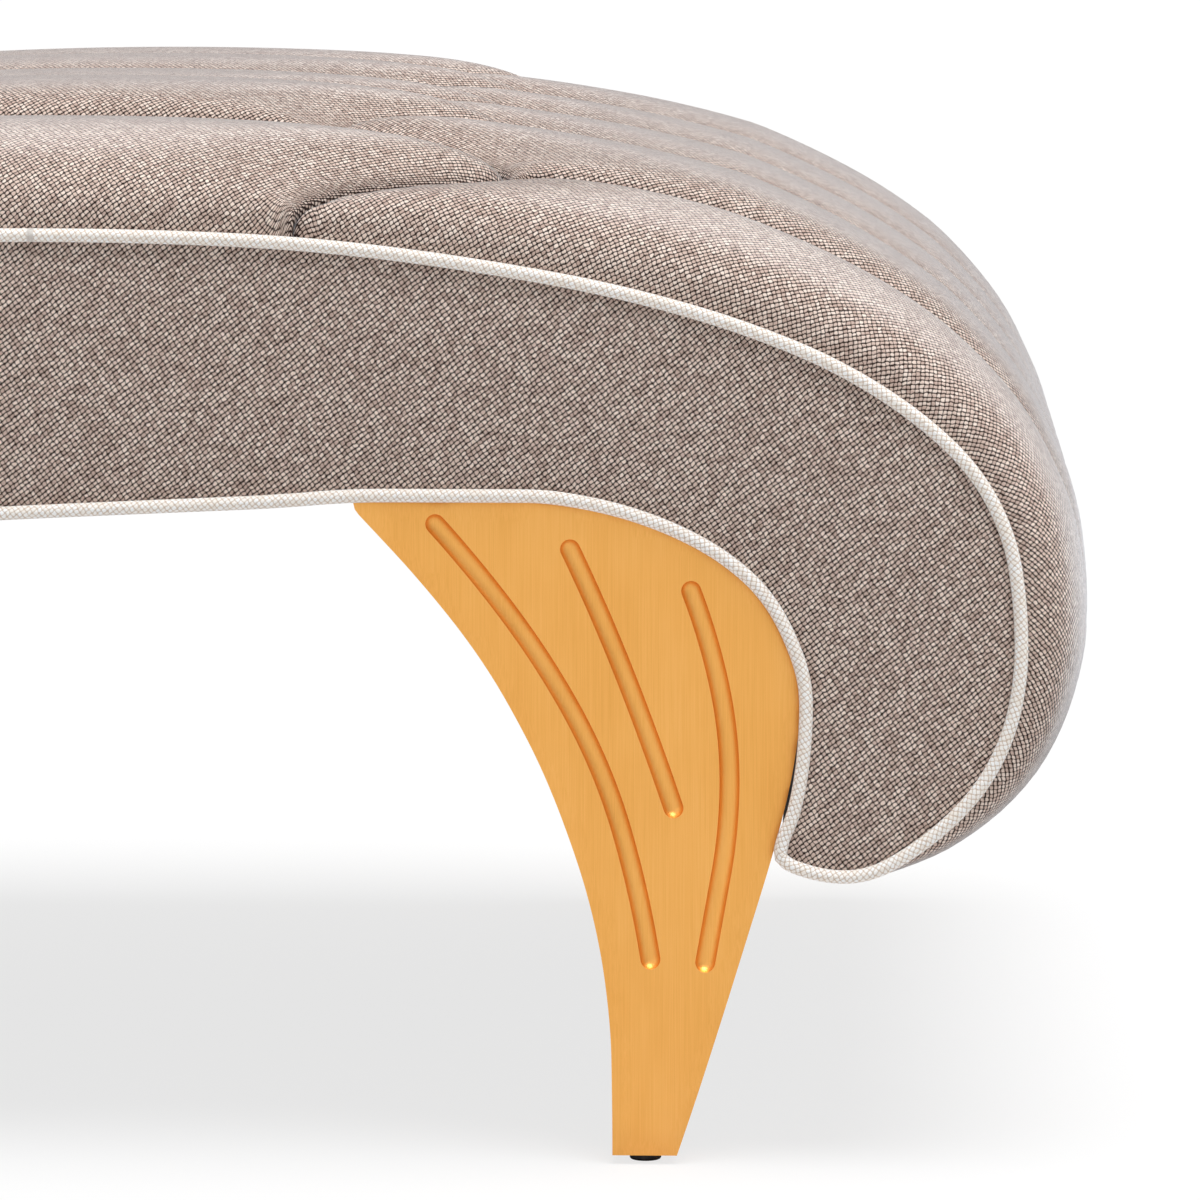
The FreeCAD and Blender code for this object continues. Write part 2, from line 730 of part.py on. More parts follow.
# The front right leg: a flat blank with three ball-nosed grooves, bored for its glide's stem
leg_y = -leg_middle
leg_face = -(leg_middle + mm.leg_thickness / 2)
tip_run = mark["seat_flat_end"] + leg_tip_run_share * mm.foot_reach
tip = place(tip_run, mm.soft_clearance)[0]
leg_gap = mm.leg_lip_gap
back_stops = [foot_point(*stop) for stop in leg_back_shares] + [("tip", tip.x, tip.z, leg_tip_angle)]
throat, throat_heading = place(mark["throat"], leg_gap)
throat_angle = math.degrees(math.atan2(-throat_heading.z, -throat_heading.x))
front_stops = [("throat", throat.x, throat.z, throat_angle)]
front_stops += [foot_point(*stop) for stop in leg_front_shares]
rebate = mm.plate_thickness - frame_bottom
top_spans = [
    (tip_run, mark["seat_flat_end"], mm.soft_clearance),
    (mark["seat_flat_end"], mark["seat_flat"], rebate),
    (mark["seat_flat"], mark["arch_top"], mm.soft_clearance),
    (mark["arch"], mark["throat"], leg_gap),
]
leg_outline = open_outline(arc_path(back_stops, False)[0])
leg_top = closed_outline(top_spans)[:-1]
leg_outline += leg_top + open_outline(arc_path(front_stops, False)[0])
leg_outline.append((leg_outline[-1][2], None, leg_outline[0][0]))
blank = slab("leg_blank", leg_outline, "Sizes.leg_thickness",
             "-(Sizes.seat_width / 2 + Sizes.piping_radius - Sizes.leg_setback - Sizes.leg_thickness / 2)")

# Half outline of the round-nosed cutter in eight flats: away from its middle, and along Y
nose_flat = mm.groove_radius * math.tan(math.pi / 8)
cutter_half = [
    (0, -mm.groove_radius),
    (nose_flat, -mm.groove_radius),
    (mm.groove_radius, -nose_flat),
    (mm.groove_radius, nose_flat),
    (nose_flat, mm.groove_radius),
    (0, mm.groove_radius),
]
grooves = []
groove_y = leg_face - (mm.groove_radius - mm.groove_depth)
for shares in groove_shares:
    stops = [foot_point("groove", *share) for share in shares]
    arcs = arc_path(stops, False)[0]
    path = Part.Wire([edge_of(piece) for piece in open_outline(arcs)])
    begin, direction = arcs[0][0], arcs[0][1]
    end = follow(*arcs[-1])[0]
    across = left_of(direction)
    ring = [begin + across * away + Vector(0, along, 0) for away, along in cutter_half]
    ring += [begin - across * away + Vector(0, along, 0) for away, along in cutter_half[-2:0:-1]]
    cutter = path.makePipeShell([Part.makePolygon(ring + ring[:1])], True, False)
    for centre in (begin, end):
        half = [centre + Vector(away, along, 0) for away, along in cutter_half]
        turned = Part.Face(Part.makePolygon(half + half[:1])).revolve(centre, Vector(0, 1, 0), 360)
        cutter = cutter.fuse(turned)
    cutter.translate(Vector(0, groove_y, 0))
    grooves.append(cutter)
groove_cutter = doc.addObject("Part::Feature", "groove_cutter")
groove_cutter.Shape = Part.makeCompound(grooves)

glide_x = (leg_outline[0][0].x + leg_outline[-1][0].x) / 2
rear_of = 2 * (foot_x - mm.base_length / 2)
stem_bore = doc.addObject("Part::Cylinder", "stem_bore")
stem_bore.setExpression("Radius", "Sizes.stem_radius + Sizes.stem_clearance")
stem_bore.setExpression("Height", "Sizes.stem_length + Sizes.stem_bore_extra + Sizes.cut_overrun")
stem_bore.Placement.Base = Vector(glide_x, leg_y, mm.leg_foot_height - mm.cut_overrun)
screw_top = flat_z - rebate
screw_bores = []
for step in (-1, 1):
    at = Vector(plate_x + step * mm.screw_spacing / 2, leg_y, screw_top + mm.cut_overrun)
    screw_bores.append(prism("leg_screw_bore", "Sizes.screw_radius + Sizes.bolt_clearance",
                             "Sizes.screw_length + Sizes.cut_overrun", at, True))
leg_tools = joined("Part::MultiFuse", "leg_tools", [groove_cutter, stem_bore] + screw_bores)
front_leg = keep(cut_from("leg_foot_right", blank, leg_tools))


def mirrored(name, source, base, normal):
    feature = doc.addObject("Part::Mirroring", name)
    feature.Label = name
    feature.Source = source
    feature.Base = base
    feature.Normal = normal
    return keep(feature)


mid_base = Vector(rear_of / 2, 0, 0)
mirrored("leg_foot_left", front_leg, Vector(0, 0, 0), Vector(0, 1, 0))
rear_leg = mirrored("leg_head_right", front_leg, mid_base, Vector(1, 0, 0))
mirrored("leg_head_left", rear_leg, Vector(0, 0, 0), Vector(0, 1, 0))

# The four corners: name, middle of the plate, side, and the glide's place
leg_places = [
    ("foot_right", plate_x, -1, glide_x),
    ("foot_left", plate_x, 1, glide_x),
    ("head_right", rear_of - plate_x, -1, rear_of - glide_x),
    ("head_left", rear_of - plate_x, 1, rear_of - glide_x),
]

screws = []
bolts = []
nut_plates = []
plates = []
blocks = []
for name, centre_x, sign, glide_place in leg_places:
    # Mounting plate, sunk for two screw heads and bored for two bolts
    plate_blank = doc.addObject("Part::Box", "plate_blank_" + name)
    plate_blank.setExpression("Length", "Sizes.plate_length")
    plate_blank.setExpression("Width", "Sizes.plate_width")
    plate_blank.setExpression("Height", "Sizes.plate_thickness")
    low_y = plate_inner if sign > 0 else -plate_outer
    plate_z = plate_top - mm.plate_thickness
    plate_blank.Placement.Base = Vector(centre_x - mm.plate_length / 2, low_y, plate_z)
    plate_tools = []
    bolt_y = sign * (plate_inner + mm.bolt_inset)
    for step in (-1, 1):
        screw_at = Vector(centre_x + step * mm.screw_spacing / 2, sign * leg_middle, plate_top)
        bolt_at = Vector(centre_x + step * mm.bolt_spacing / 2, bolt_y, plate_z)
        overrun = Vector(0, 0, mm.cut_overrun)
        plate_tools.append(prism("plate_screw_hole", "Sizes.screw_radius + Sizes.bolt_clearance",
                                 "Sizes.plate_thickness + 2 * Sizes.cut_overrun", screw_at + overrun, True))
        plate_tools.append(prism("plate_sink", "Sizes.screw_head_radius + Sizes.bolt_clearance",
                                 "Sizes.screw_head_height + Sizes.cut_overrun", screw_at + overrun, True))
        plate_tools.append(prism("plate_bolt_hole", "Sizes.bolt_radius + Sizes.bolt_clearance",
                                 "Sizes.plate_thickness + 2 * Sizes.cut_overrun", bolt_at - overrun))

        # Sunk screw from the plate into the leg
        head = prism("screw_head", "Sizes.screw_head_radius", "Sizes.screw_head_height", screw_at, True)
        shank = prism("screw_shank", "Sizes.screw_radius", "Sizes.screw_length", screw_at, True)
        screws.append(joined("Part::MultiFuse", "screw", [head, shank]))

        # Hexagon bolt from below the plate, up into the nut plate
        bolt_head = doc.addObject("Part::Prism", "bolt_head")
        bolt_head.setExpression("Circumradius", "Sizes.bolt_head_radius")
        bolt_head.setExpression("Height", "Sizes.bolt_head_height")
        bolt_head.Placement.Base = bolt_at - Vector(0, 0, mm.bolt_head_height)
        bolt_shank = prism("bolt_shank", "Sizes.bolt_radius", "Sizes.bolt_length", bolt_at)
        bolts.append(joined("Part::MultiFuse", "bolt", [bolt_head, bolt_shank]))
    plate_holes = joined("Part::MultiFuse", "plate_holes_" + name, plate_tools)
    plates.append(cut_from("leg_plate_" + name, plate_blank, plate_holes))

    # Nut plate on top of the block, tapped for the two bolts
    nut_blank = doc.addObject("Part::Box", "nut_blank_" + name)
    nut_blank.setExpression("Length", "Sizes.nut_plate_length")
    nut_blank.setExpression("Width", "Sizes.nut_plate_width")
    nut_blank.setExpression("Height", "Sizes.nut_plate_thickness")
    nut_y = bolt_y - mm.nut_plate_width / 2
    nut_z = plate_top + mm.block_depth
    nut_blank.Placement.Base = Vector(centre_x - mm.nut_plate_length / 2, nut_y, nut_z)

    # Hardwood block between the side frame and the plate
    block_blank = doc.addObject("Part::Box", "block_blank_" + name)
    block_blank.setExpression("Length", "Sizes.block_length")
    block_blank.setExpression("Width", "Sizes.block_width")
    block_blank.setExpression("Height", "Sizes.block_depth")
    block_outer = inner_half - mm.frame_thickness
    block_y = block_outer - mm.block_width if sign > 0 else -block_outer
    block_blank.Placement.Base = Vector(centre_x - mm.block_length / 2, block_y, plate_top)

    nut_tools = []
    block_tools = []
    for step in (-1, 1):
        bore_x = centre_x + step * mm.bolt_spacing / 2
        nut_tools.append(prism("nut_bore", "Sizes.bolt_radius + Sizes.bolt_clearance",
                               "Sizes.nut_plate_thickness + 2 * Sizes.cut_overrun",
                               Vector(bore_x, bolt_y, nut_z - mm.cut_overrun)))
        block_tools.append(prism("block_bore", "Sizes.bolt_radius + Sizes.bolt_clearance",
                                 "Sizes.block_depth + 2 * Sizes.cut_overrun",
                                 Vector(bore_x, bolt_y, plate_top - mm.cut_overrun)))
    nut_plates.append(cut_from("nut_plate_" + name, nut_blank,
                               joined("Part::MultiFuse", "nut_bores_" + name, nut_tools)))
    blocks.append(cut_from("block_" + name, block_blank,
                           joined("Part::MultiFuse", "block_bores_" + name, block_tools)))


def group(name, members):
    feature = doc.addObject("Part::Compound", name)
    feature.Label = name
    feature.Links = members
    return keep(feature)


group("leg_screws", screws)
group("leg_bolts", bolts)
group("nut_plates", nut_plates)
group("leg_plates", plates)
group("leg_blocks", blocks)


# Glide: a turned pad on a threaded stem, screwed up into the leg
def glide(name, x, y):
    body = doc.addObject("PartDesign::Body", name)
    body.Label = name
    pad_top = mm.leg_foot_height - mm.glide_gap
    stem_top = mm.leg_foot_height + mm.stem_length
    outline_points = [
        Vector(0, 0, 0),
        Vector(mm.glide_radius, 0, 0),
        Vector(mm.glide_radius, 0, pad_top),
        Vector(mm.stem_radius, 0, pad_top),
        Vector(mm.stem_radius, 0, stem_top),
        Vector(0, 0, stem_top),
    ]
    following = outline_points[1:] + outline_points[:1]
    sketch = draw(body, name + "_profile", [(a, None, b) for a, b in zip(outline_points, following)])
    turned = body.newObject("PartDesign::Revolution", name + "_turned")
    turned.Profile = sketch
    turned.ReferenceAxis = (sketch, ["V_Axis"])
    body.Placement.Base = Vector(x, y, 0)
    return keep(body)


for name, centre_x, sign, glide_place in leg_places:
    glide("glide_" + name, glide_place, sign * leg_middle)

doc.recompute()
for feature in doc.Objects:
    if "Invalid" in feature.State or "Error" in feature.State:
        raise RuntimeError(feature.Label + " failed: " + str(feature.State))
for feature in sub_parts:
    check_volume(feature.Label, feature.Shape)

os.makedirs("parts", exist_ok=True)
for feature in sub_parts:
    feature.Shape.exportStep("parts/%s.step" % feature.Label)
whole = Part.makeCompound([feature.Shape for feature in sub_parts])
box = whole.BoundBox
print("%d sub-parts, x %.1f to %.1f, y %.1f to %.1f, z %.1f to %.1f"
      % (len(sub_parts), box.XMin, box.XMax, box.YMin, box.YMax, box.ZMin, box.ZMax))
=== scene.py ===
# Chaise longue: channelled seat with a rolled head, piped side panels, four fluted legs in brushed gold.
# Metres. +X points to the foot end, +Y to the sitter's left, +Z up, and the floor is at zero.
import json
import math

import bpy
import numpy as np
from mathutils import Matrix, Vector
from mathutils.geometry import delaunay_2d_cdt


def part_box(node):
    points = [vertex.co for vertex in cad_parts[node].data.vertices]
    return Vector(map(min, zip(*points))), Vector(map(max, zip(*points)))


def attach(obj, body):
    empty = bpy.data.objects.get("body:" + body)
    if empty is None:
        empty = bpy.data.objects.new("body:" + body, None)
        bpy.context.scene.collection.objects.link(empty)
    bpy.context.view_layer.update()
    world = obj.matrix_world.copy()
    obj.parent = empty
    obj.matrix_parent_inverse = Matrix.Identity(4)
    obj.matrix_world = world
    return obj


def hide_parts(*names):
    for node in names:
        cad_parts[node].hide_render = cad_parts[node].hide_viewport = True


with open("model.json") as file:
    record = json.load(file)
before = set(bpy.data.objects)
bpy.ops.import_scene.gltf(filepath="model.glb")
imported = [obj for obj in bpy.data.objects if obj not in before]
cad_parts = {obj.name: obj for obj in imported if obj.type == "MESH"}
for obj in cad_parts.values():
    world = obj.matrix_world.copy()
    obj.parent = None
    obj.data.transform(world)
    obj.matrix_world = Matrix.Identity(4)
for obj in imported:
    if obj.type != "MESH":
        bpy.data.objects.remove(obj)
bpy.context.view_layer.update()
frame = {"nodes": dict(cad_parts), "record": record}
millimetre = 0.001
loungeBody = "lounge"
pipingRadius = 0.003

# The side outline: driving sizes, then stops of (name, x share, z share, heading in degrees)
outlineSizes = {
    "footReach": 0.430,       # foot nose back to the highest point over the foot end
    "sideHeight": 0.410,      # floor to that point
    "baseLength": 1.350,      # foot nose to heel nose
    "backOverhang": 0.310,    # heel nose back to the end of the rolled head
    "backRise": 0.418,        # highest seat piping up to the highest head piping
    "seatWidth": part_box("piping_left")[1].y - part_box("piping_right")[0].y - 2 * pipingRadius,
    "bellyHeightShare": 0.6585,   # lowest point between the legs, as a share of the side height
}
noseX = (outlineSizes["baseLength"] + outlineSizes["backOverhang"]) / 2
heelX = noseX - outlineSizes["baseLength"]
middleX = noseX - outlineSizes["baseLength"] / 2
footTopShares = [
    ("seatCrest", 1.0, 1.0, 0), ("seatFall", 0.629, 0.980, -7.2), ("shoulder", 0.326, 0.918, -16.5),
    ("knee", 0.1314, 0.827, -34), ("brow", 0.0314, 0.721, -61), ("nose", 0.0, 0.561, -90),
    ("chin", 0.024, 0.443, -116), ("jaw", 0.094, 0.356, -142), ("lip", 0.179, 0.316, 180),
]
footUnderShares = [
    ("lipEnd", 0.228, 0.326, 160), ("lipBack", 0.2435, 0.344, 80), ("throat", 0.2293, 0.389, 76.6),
    ("calf", 0.218, 0.50, 90), ("hollow", 0.2437, 0.592, 118), ("arch", 0.331, 0.677, 152.6),
    ("archTop", 0.427, 0.7134, 167.5), ("seatFlat", 0.505, 0.7237, 180),
    ("seatFlatEnd", 0.644, 0.7237, 180), ("underFall", 0.793, 0.715, 182.6),
    ("underRun", 1.037, 0.703, 182.9),
]
backShares = [
    ("backFoot", -0.006, -0.191, 93), ("backLow", -0.113, 0.096, 116), ("backMid", -0.290, 0.323, 123),
    ("backHigh", -0.468, 0.502, 131), ("rollStart", -0.694, 0.617, 166), ("rollNose", -1.0, 0.801, 90),
    ("headCrest", -0.726, 1.0, 0), ("restTop", -0.419, 0.933, -33), ("restHigh", -0.097, 0.730, -48),
    ("restMid", 0.355, 0.323, -50), ("restLow", 0.742, 0.072, -33), ("restFoot", 1.129, -0.036, -11),
    ("trough", 1.516, -0.062, 0),
]


# One arc as (x, z, heading, bend, length): it starts on a heading and ends on a target
def arcTo(x, z, heading, target):
    chordX, chordZ = target[0] - x, target[1] - z
    chord = math.hypot(chordX, chordZ)
    turn = 2 * math.remainder(math.atan2(chordZ, chordX) - heading, 2 * math.pi)
    length = chord if abs(turn) < 1e-6 else chord * (turn / 2) / math.sin(turn / 2)
    return (x, z, heading, turn / length, length)


# Two tangent arcs of like length between two stops with given headings
def twoArcs(start, stop):
    (x0, z0, heading0), (x1, z1, heading1) = start, stop
    t0 = np.array([math.cos(heading0), math.sin(heading0)])
    t1 = np.array([math.cos(heading1), math.sin(heading1)])
    chord = np.array([x1 - x0, z1 - z0])
    spread = 2 * (1 - t0 @ t1)
    along = chord @ (t0 + t1)
    if spread < 1e-6:
        reach = chord @ chord / (4 * chord @ t1)
    else:
        reach = (math.sqrt(along * along + spread * chord @ chord) - along) / spread
    middle = (np.array([x0 + x1, z0 + z1]) + (t0 - t1) * reach) / 2
    first = arcTo(x0, z0, heading0, middle)
    return [first, arcTo(middle[0], middle[1], heading0 + first[3] * first[4], (x1, z1))]


# Arcs through stops of (name, x, z, degrees), as rows of an array, and the run at each stop
def arcChain(stops, closed):
    arcs, marks, run = [], {}, 0.0
    following = stops[1:] + stops[:1] if closed else stops[1:]
    for (name, x, z, angle), (nextName, nextX, nextZ, nextAngle) in zip(stops, following):
        marks[name] = run
        pair = twoArcs((x, z, math.radians(angle)), (nextX, nextZ, math.radians(nextAngle)))
        arcs += pair
        run += pair[0][4] + pair[1][4]
    return np.array(arcs), marks, run


# Points at runs along a chain, pushed out to the left by a height: an arc's start plus the integral of its
# heading, which is (sin(heading + bend s) - sin heading) / bend in x and likewise with cosines in z
def alongArcs(arcs, run, height=0.0):
    begin = np.concatenate([[0.0], np.cumsum(arcs[:, 4])])
    index = np.clip(np.searchsorted(begin, run, side="right") - 1, 0, len(arcs) - 1)
    x, z, heading, bend, length = np.moveaxis(arcs[index], -1, 0)
    rest = run - begin[index]
    turned = heading + bend * rest
    straight = np.abs(bend) < 1e-6
    divisor = np.where(straight, 1.0, bend)
    px = x + np.where(straight, rest * np.cos(heading), (np.sin(turned) - np.sin(heading)) / divisor)
    pz = z + np.where(straight, rest * np.sin(heading), (np.cos(heading) - np.cos(turned)) / divisor)
    return px - np.sin(turned) * height, pz + np.cos(turned) * height


def footStop(name, xShare, zShare, angle):
    return (name, noseX - xShare * outlineSizes["footReach"], zShare * outlineSizes["sideHeight"], angle)


# The heel is the foot end mirrored, met in the other order
def heelStop(name, xShare, zShare, angle):
    x = heelX + xShare * outlineSizes["footReach"]
    return (name + "Heel", x, zShare * outlineSizes["sideHeight"], -angle)


def backStop(name, xShare, zShare, angle):
    height = outlineSizes["sideHeight"] + zShare * outlineSizes["backRise"]
    return (name, heelX + xShare * outlineSizes["backOverhang"], height, angle)


bellyZ = outlineSizes["bellyHeightShare"] * outlineSizes["sideHeight"]
stops = [footStop(*stop) for stop in footTopShares + footUnderShares] + [("belly", middleX, bellyZ, 180)]
stops += [heelStop(*stop) for stop in footUnderShares[::-1] + footTopShares[:4:-1]]
stops += [backStop(*stop) for stop in backShares]
outline, mark, outlineRun = arcChain(stops, True)
side = outlineSizes["seatWidth"] / 2


# X and Z at runs along the outline, at a height outside it
def place(run, height=0.0):
    return alongArcs(outline, np.mod(run, outlineRun), height)


print("outline ready,", round(outlineRun, 4), "m round")


# Materials

# Linear colour of a hex sRGB code
def colour(code):
    channels = [int(code[i:i + 2], 16) / 255 for i in (0, 2, 4)]
    linear = [c / 12.92 if c <= 0.04045 else ((c + 0.055) / 1.055) ** 2.4 for c in channels]
    return (*linear, 1.0)


# Adds a node with its settings; an input is a value or another node's output
def addNode(tree, kind, inputs=None, **settings):
    node = tree.nodes.new(kind)
    for name, value in settings.items():
        setattr(node, name, value)
    for name, value in (inputs or {}).items():
        if isinstance(value, bpy.types.NodeSocket):
            tree.links.new(value, node.inputs[name])
        else:
            node.inputs[name].default_value = value
    return node


def newMaterial(name):
    material = bpy.data.materials.new(name)
    material.use_nodes = True
    tree = material.node_tree
    tree.nodes.clear()
    return material, tree


def finishMaterial(tree, inputs):
    shader = addNode(tree, "ShaderNodeBsdfPrincipled", inputs)
    addNode(tree, "ShaderNodeOutputMaterial", {"Surface": shader.outputs[0]})


def maths(tree, operation, *values):
    return addNode(tree, "ShaderNodeMath", dict(enumerate(values)), operation=operation).outputs[0]


def vectorMaths(tree, operation, *values):
    return addNode(tree, "ShaderNodeVectorMath", dict(enumerate(values)), operation=operation).outputs


def noise(tree, vector, scale, detail=2.0, roughness=0.5):
    return addNode(tree, "ShaderNodeTexNoise", {"Vector": vector, "Scale": scale, "Detail": detail,
                   "Roughness": roughness}).outputs


# Between two numbers, or with RGBA between two colours
def mixed(tree, factor, first, second, kind="FLOAT"):
    start, result = {"FLOAT": (2, 0), "RGBA": (6, 2)}[kind]
    inputs = {0: factor, start: first, start + 1: second}
    return addNode(tree, "ShaderNodeMix", inputs, data_type=kind).outputs[result]


def bumped(tree, height, strength, distance):
    return addNode(tree, "ShaderNodeBump", {"Height": height, "Strength": strength,
                   "Distance": distance}).outputs[0]


def ramp(tree, factor, stopsOfColour):
    node = addNode(tree, "ShaderNodeValToRGB", {"Fac": factor})
    elements = node.color_ramp.elements
    while len(elements) < len(stopsOfColour):
        elements.new(0.5)
    for element, (position, code) in zip(elements, stopsOfColour):
        element.position = position
        element.color = colour(code)
    return node.outputs[0]


# Woven cloth on a UV map in metres. Floats of a plain weave show as dots on a slanted lattice: each dot is a
# cell between two families of lines, raised in the middle and with a shade of its own, and dark at its edges
def wovenCloth(name, cloth):
    material, tree = newMaterial(name)
    uv = addNode(tree, "ShaderNodeUVMap", uv_map="cloth").outputs[0]
    drift = noise(tree, uv, 1 / cloth["driftSize"], 1.0)["Color"]
    swayed = vectorMaths(tree, "MULTIPLY_ADD", drift, (cloth["drift"],) * 3, uv)[0]
    counts = []
    for period, angle in cloth["lattice"]:
        wave = (math.cos(math.radians(angle)) / period, math.sin(math.radians(angle)) / period, 0)
        counts.append(vectorMaths(tree, "DOT_PRODUCT", swayed, wave)[1])
    cells = addNode(tree, "ShaderNodeCombineXYZ", {"X": counts[0], "Y": counts[1]}).outputs[0]
    ragged = noise(tree, cells, cloth["frayScale"])["Color"]
    frayed = vectorMaths(tree, "MULTIPLY_ADD", ragged, (cloth["fray"],) * 3, cells)[0]
    local = addNode(tree, "ShaderNodeSeparateXYZ", {0: vectorMaths(tree, "FRACTION", frayed)[0]}).outputs
    floats = []
    for part, depth, power in zip(local[:2], cloth["gapDepths"], cloth["gapPowers"]):
        away = maths(tree, "ABSOLUTE", maths(tree, "MULTIPLY_ADD", part, 2.0, -1.0))
        fallen = maths(tree, "MULTIPLY", maths(tree, "POWER", away, power), depth)
        floats.append(maths(tree, "SUBTRACT", 1.0, fallen))
    height = maths(tree, "MULTIPLY", *floats)

    # Shade of a dot: part its own, part a slub that runs on along its yarn
    cell = vectorMaths(tree, "FLOOR", frayed)[0]
    own = addNode(tree, "ShaderNodeTexWhiteNoise", {"Vector": cell}, noise_dimensions="2D").outputs[0]
    slub = noise(tree, vectorMaths(tree, "MULTIPLY", swayed, cloth["slubScale"])[0], 1.0)[0]
    yarn = ramp(tree, mixed(tree, cloth["slubShare"], own, slub), cloth["yarns"])

    # Painted light: a vertex value lightens yarns and closes gaps on a crown (painted highlight), and opens
    # gaps in seams (painted shade)
    paintedSheenAndShade = addNode(tree, "ShaderNodeAttribute", attribute_name="paintedSheenAndShade").outputs["Fac"]
    lit = maths(tree, "MULTIPLY", paintedSheenAndShade, cloth["paintedSheenShare"])
    bright = mixed(tree, lit, yarn, colour(cloth["paintedSheenTone"]), "RGBA")
    # The painted highlight raises the weave's height so that its gaps close, and the painted shade lowers it
    # so that they open
    closed = maths(tree, "MULTIPLY_ADD", paintedSheenAndShade, cloth["paintedLightGapShift"], height)
    gapLow, gapHigh = cloth["gapHeights"]
    filled = addNode(tree, "ShaderNodeMapRange", {0: closed, 1: gapLow, 2: gapHigh},
                     interpolation_type="SMOOTHSTEP").outputs[0]
    shaded = mixed(tree, filled, colour(cloth["gap"]), bright, "RGBA")
    bump = bumped(tree, height, cloth["bump"], cloth["relief"])
    finishMaterial(tree, {"Base Color": shaded, "Roughness": 0.95, "Normal": bump,
                          "Sheen Weight": cloth["sheen"], "Sheen Roughness": 0.3,
                          "Sheen Tint": colour(cloth["sheenTint"]), "Specular IOR Level": 0.15})
    return material


# What both cloths share; a yarn is about two millimetres from the next
weave = {
    "lattice": [(1.89 * millimetre, 128), (2.12 * millimetre, 32)],   # period and angle of each set of lines
    "driftSize": 0.02,        # threads wander by the drift over this length
    "drift": 1.4 * millimetre,
    "fray": 0.8,              # how ragged a dot's edge is, in cells
    "frayScale": 0.9,
    "gapHeights": (0.1, 0.85),   # from a gap's tone to a yarn's
    "slubScale": (160, 620, 1),   # slubs to a metre, along the cloth and across
    "slubShare": 0.4,
    # The painted highlight on the crowns: its pale, cool tone, and how strongly painted light acts
    "paintedSheenTone": "e9eff7",
    "paintedSheenShare": 0.16,       # how far the painted highlight turns a crown's yarns to its pale tone
    "paintedLightGapShift": 0.16,       # how far painted light closes gaps on a crown and opens them in a seam
}
# Taupe melange basket weave in wool and linen: dull, hairy, with light and dark yarns side by side
upholstery = wovenCloth("melangeBasketWeave", weave | {
    "gapDepths": (1.0, 0.8), "gapPowers": (2.1, 2.9),
    "gap": "271a16", "bump": 0.4, "relief": 0.5 * millimetre, "sheen": 1.0, "sheenTint": "e4ebf3",
    "yarns": [(0.15, "bda599"), (0.4, "d2bcb0"), (0.62, "e2cfc3"), (0.85, "f2e2d7")],
})
# Cream cotton of the same weave for the piping, its holes hardly darker than its floats
pipingCloth = wovenCloth("creamBasketWeave", weave | {
    "gapDepths": (0.9, 0.9), "gapPowers": (3.5, 3.5),
    "gap": "d3bfad", "bump": 0.6, "relief": 0.45 * millimetre, "sheen": 0.5, "sheenTint": "ffffff",
    "yarns": [(0.1, "f7efe6"), (0.4, "fdf9f4"), (0.8, "ffffff")],
})


# Grain or brushing as a fine noise, with its size along X, Y and Z in millimetres
def grain(tree, size, detail=3.0):
    spot = addNode(tree, "ShaderNodeTexCoord").outputs["Object"]
    scaled = vectorMaths(tree, "MULTIPLY", spot, tuple(1 / (s * millimetre) for s in size))[0]
    return noise(tree, scaled, 1.0, detail, 0.6)[0]


# Brushed and gold-anodised aluminium: fine upright scratches, a warm satin gloss
def brushedGold():
    material, tree = newMaterial("brushedGoldAluminium")
    scratches = grain(tree, (0.5, 0.5, 45))
    clouds = grain(tree, (30, 30, 70), 2.0)
    pattern = mixed(tree, 0.4, scratches, clouds)
    tone = ramp(tree, pattern, [(0.3, "e6a654"), (0.5, "efb05e"), (0.7, "f5b96a")])
    rough = addNode(tree, "ShaderNodeMapRange", {0: scratches, 3: 0.36, 4: 0.5}).outputs[0]
    bump = bumped(tree, scratches, 0.12, 0.15 * millimetre)
    finishMaterial(tree, {"Base Color": tone, "Metallic": 1.0, "Roughness": rough, "Normal": bump})
    return material


# A plain material with a mottled or grained tone, for what mostly lies hidden
def grained(name, codes, size, roughness, metallic=0.0, bump=0.2):
    material, tree = newMaterial(name)
    pattern = grain(tree, size)
    tone = ramp(tree, pattern, [(0.3, codes[0]), (0.7, codes[1])])
    normal = bumped(tree, pattern, bump, 0.3 * millimetre)
    finishMaterial(tree, {"Base Color": tone, "Metallic": metallic, "Roughness": roughness, "Normal": normal})
    return material


gold = brushedGold()
# Birch plywood and beech, sawn: pale, with long grain
timber = grained("sawnBeech", ("b98f5f", "d9b684"), (60, 4, 4), roughness=0.7)
# Polyurethane foam: open cells under a millimetre, drawn at two
foam = grained("polyurethaneFoam", ("d9cfae", "ece4c6"), (2, 2, 2), roughness=0.95, bump=0.5)
# Jute webbing: coarse brown yarns
jute = grained("juteWebbing", ("7d6446", "a88a63"), (1.5, 3, 1.5), roughness=0.9, bump=0.6)
# Zinc-plated steel: cool, fairly glossy, faintly clouded
steel = grained("zincPlatedSteel", ("a9adb0", "c6c9cb"), (9, 9, 9), roughness=0.35, metallic=1.0, bump=0.05)
# Moulded polyamide: black, fine spark-eroded texture
polyamide = grained("blackPolyamide", ("17171a", "232326"), (0.8, 0.8, 0.8), roughness=0.5, bump=0.3)
# Spun-bonded polypropylene: black felt, faintly mottled
spunBond = grained("spunBondedPolypropylene", ("131313", "292929"), (1.2, 1.2, 1.2), roughness=0.9, bump=0.5)

slotMaterials = {"brushed_gold": gold, "steel": steel, "glide": polyamide, "foam": foam, "webbing": jute,
                 "dust_cover": spunBond, "timber": timber, "upholstery": upholstery, "piping": pipingCloth}
print("materials ready")


# Meshes

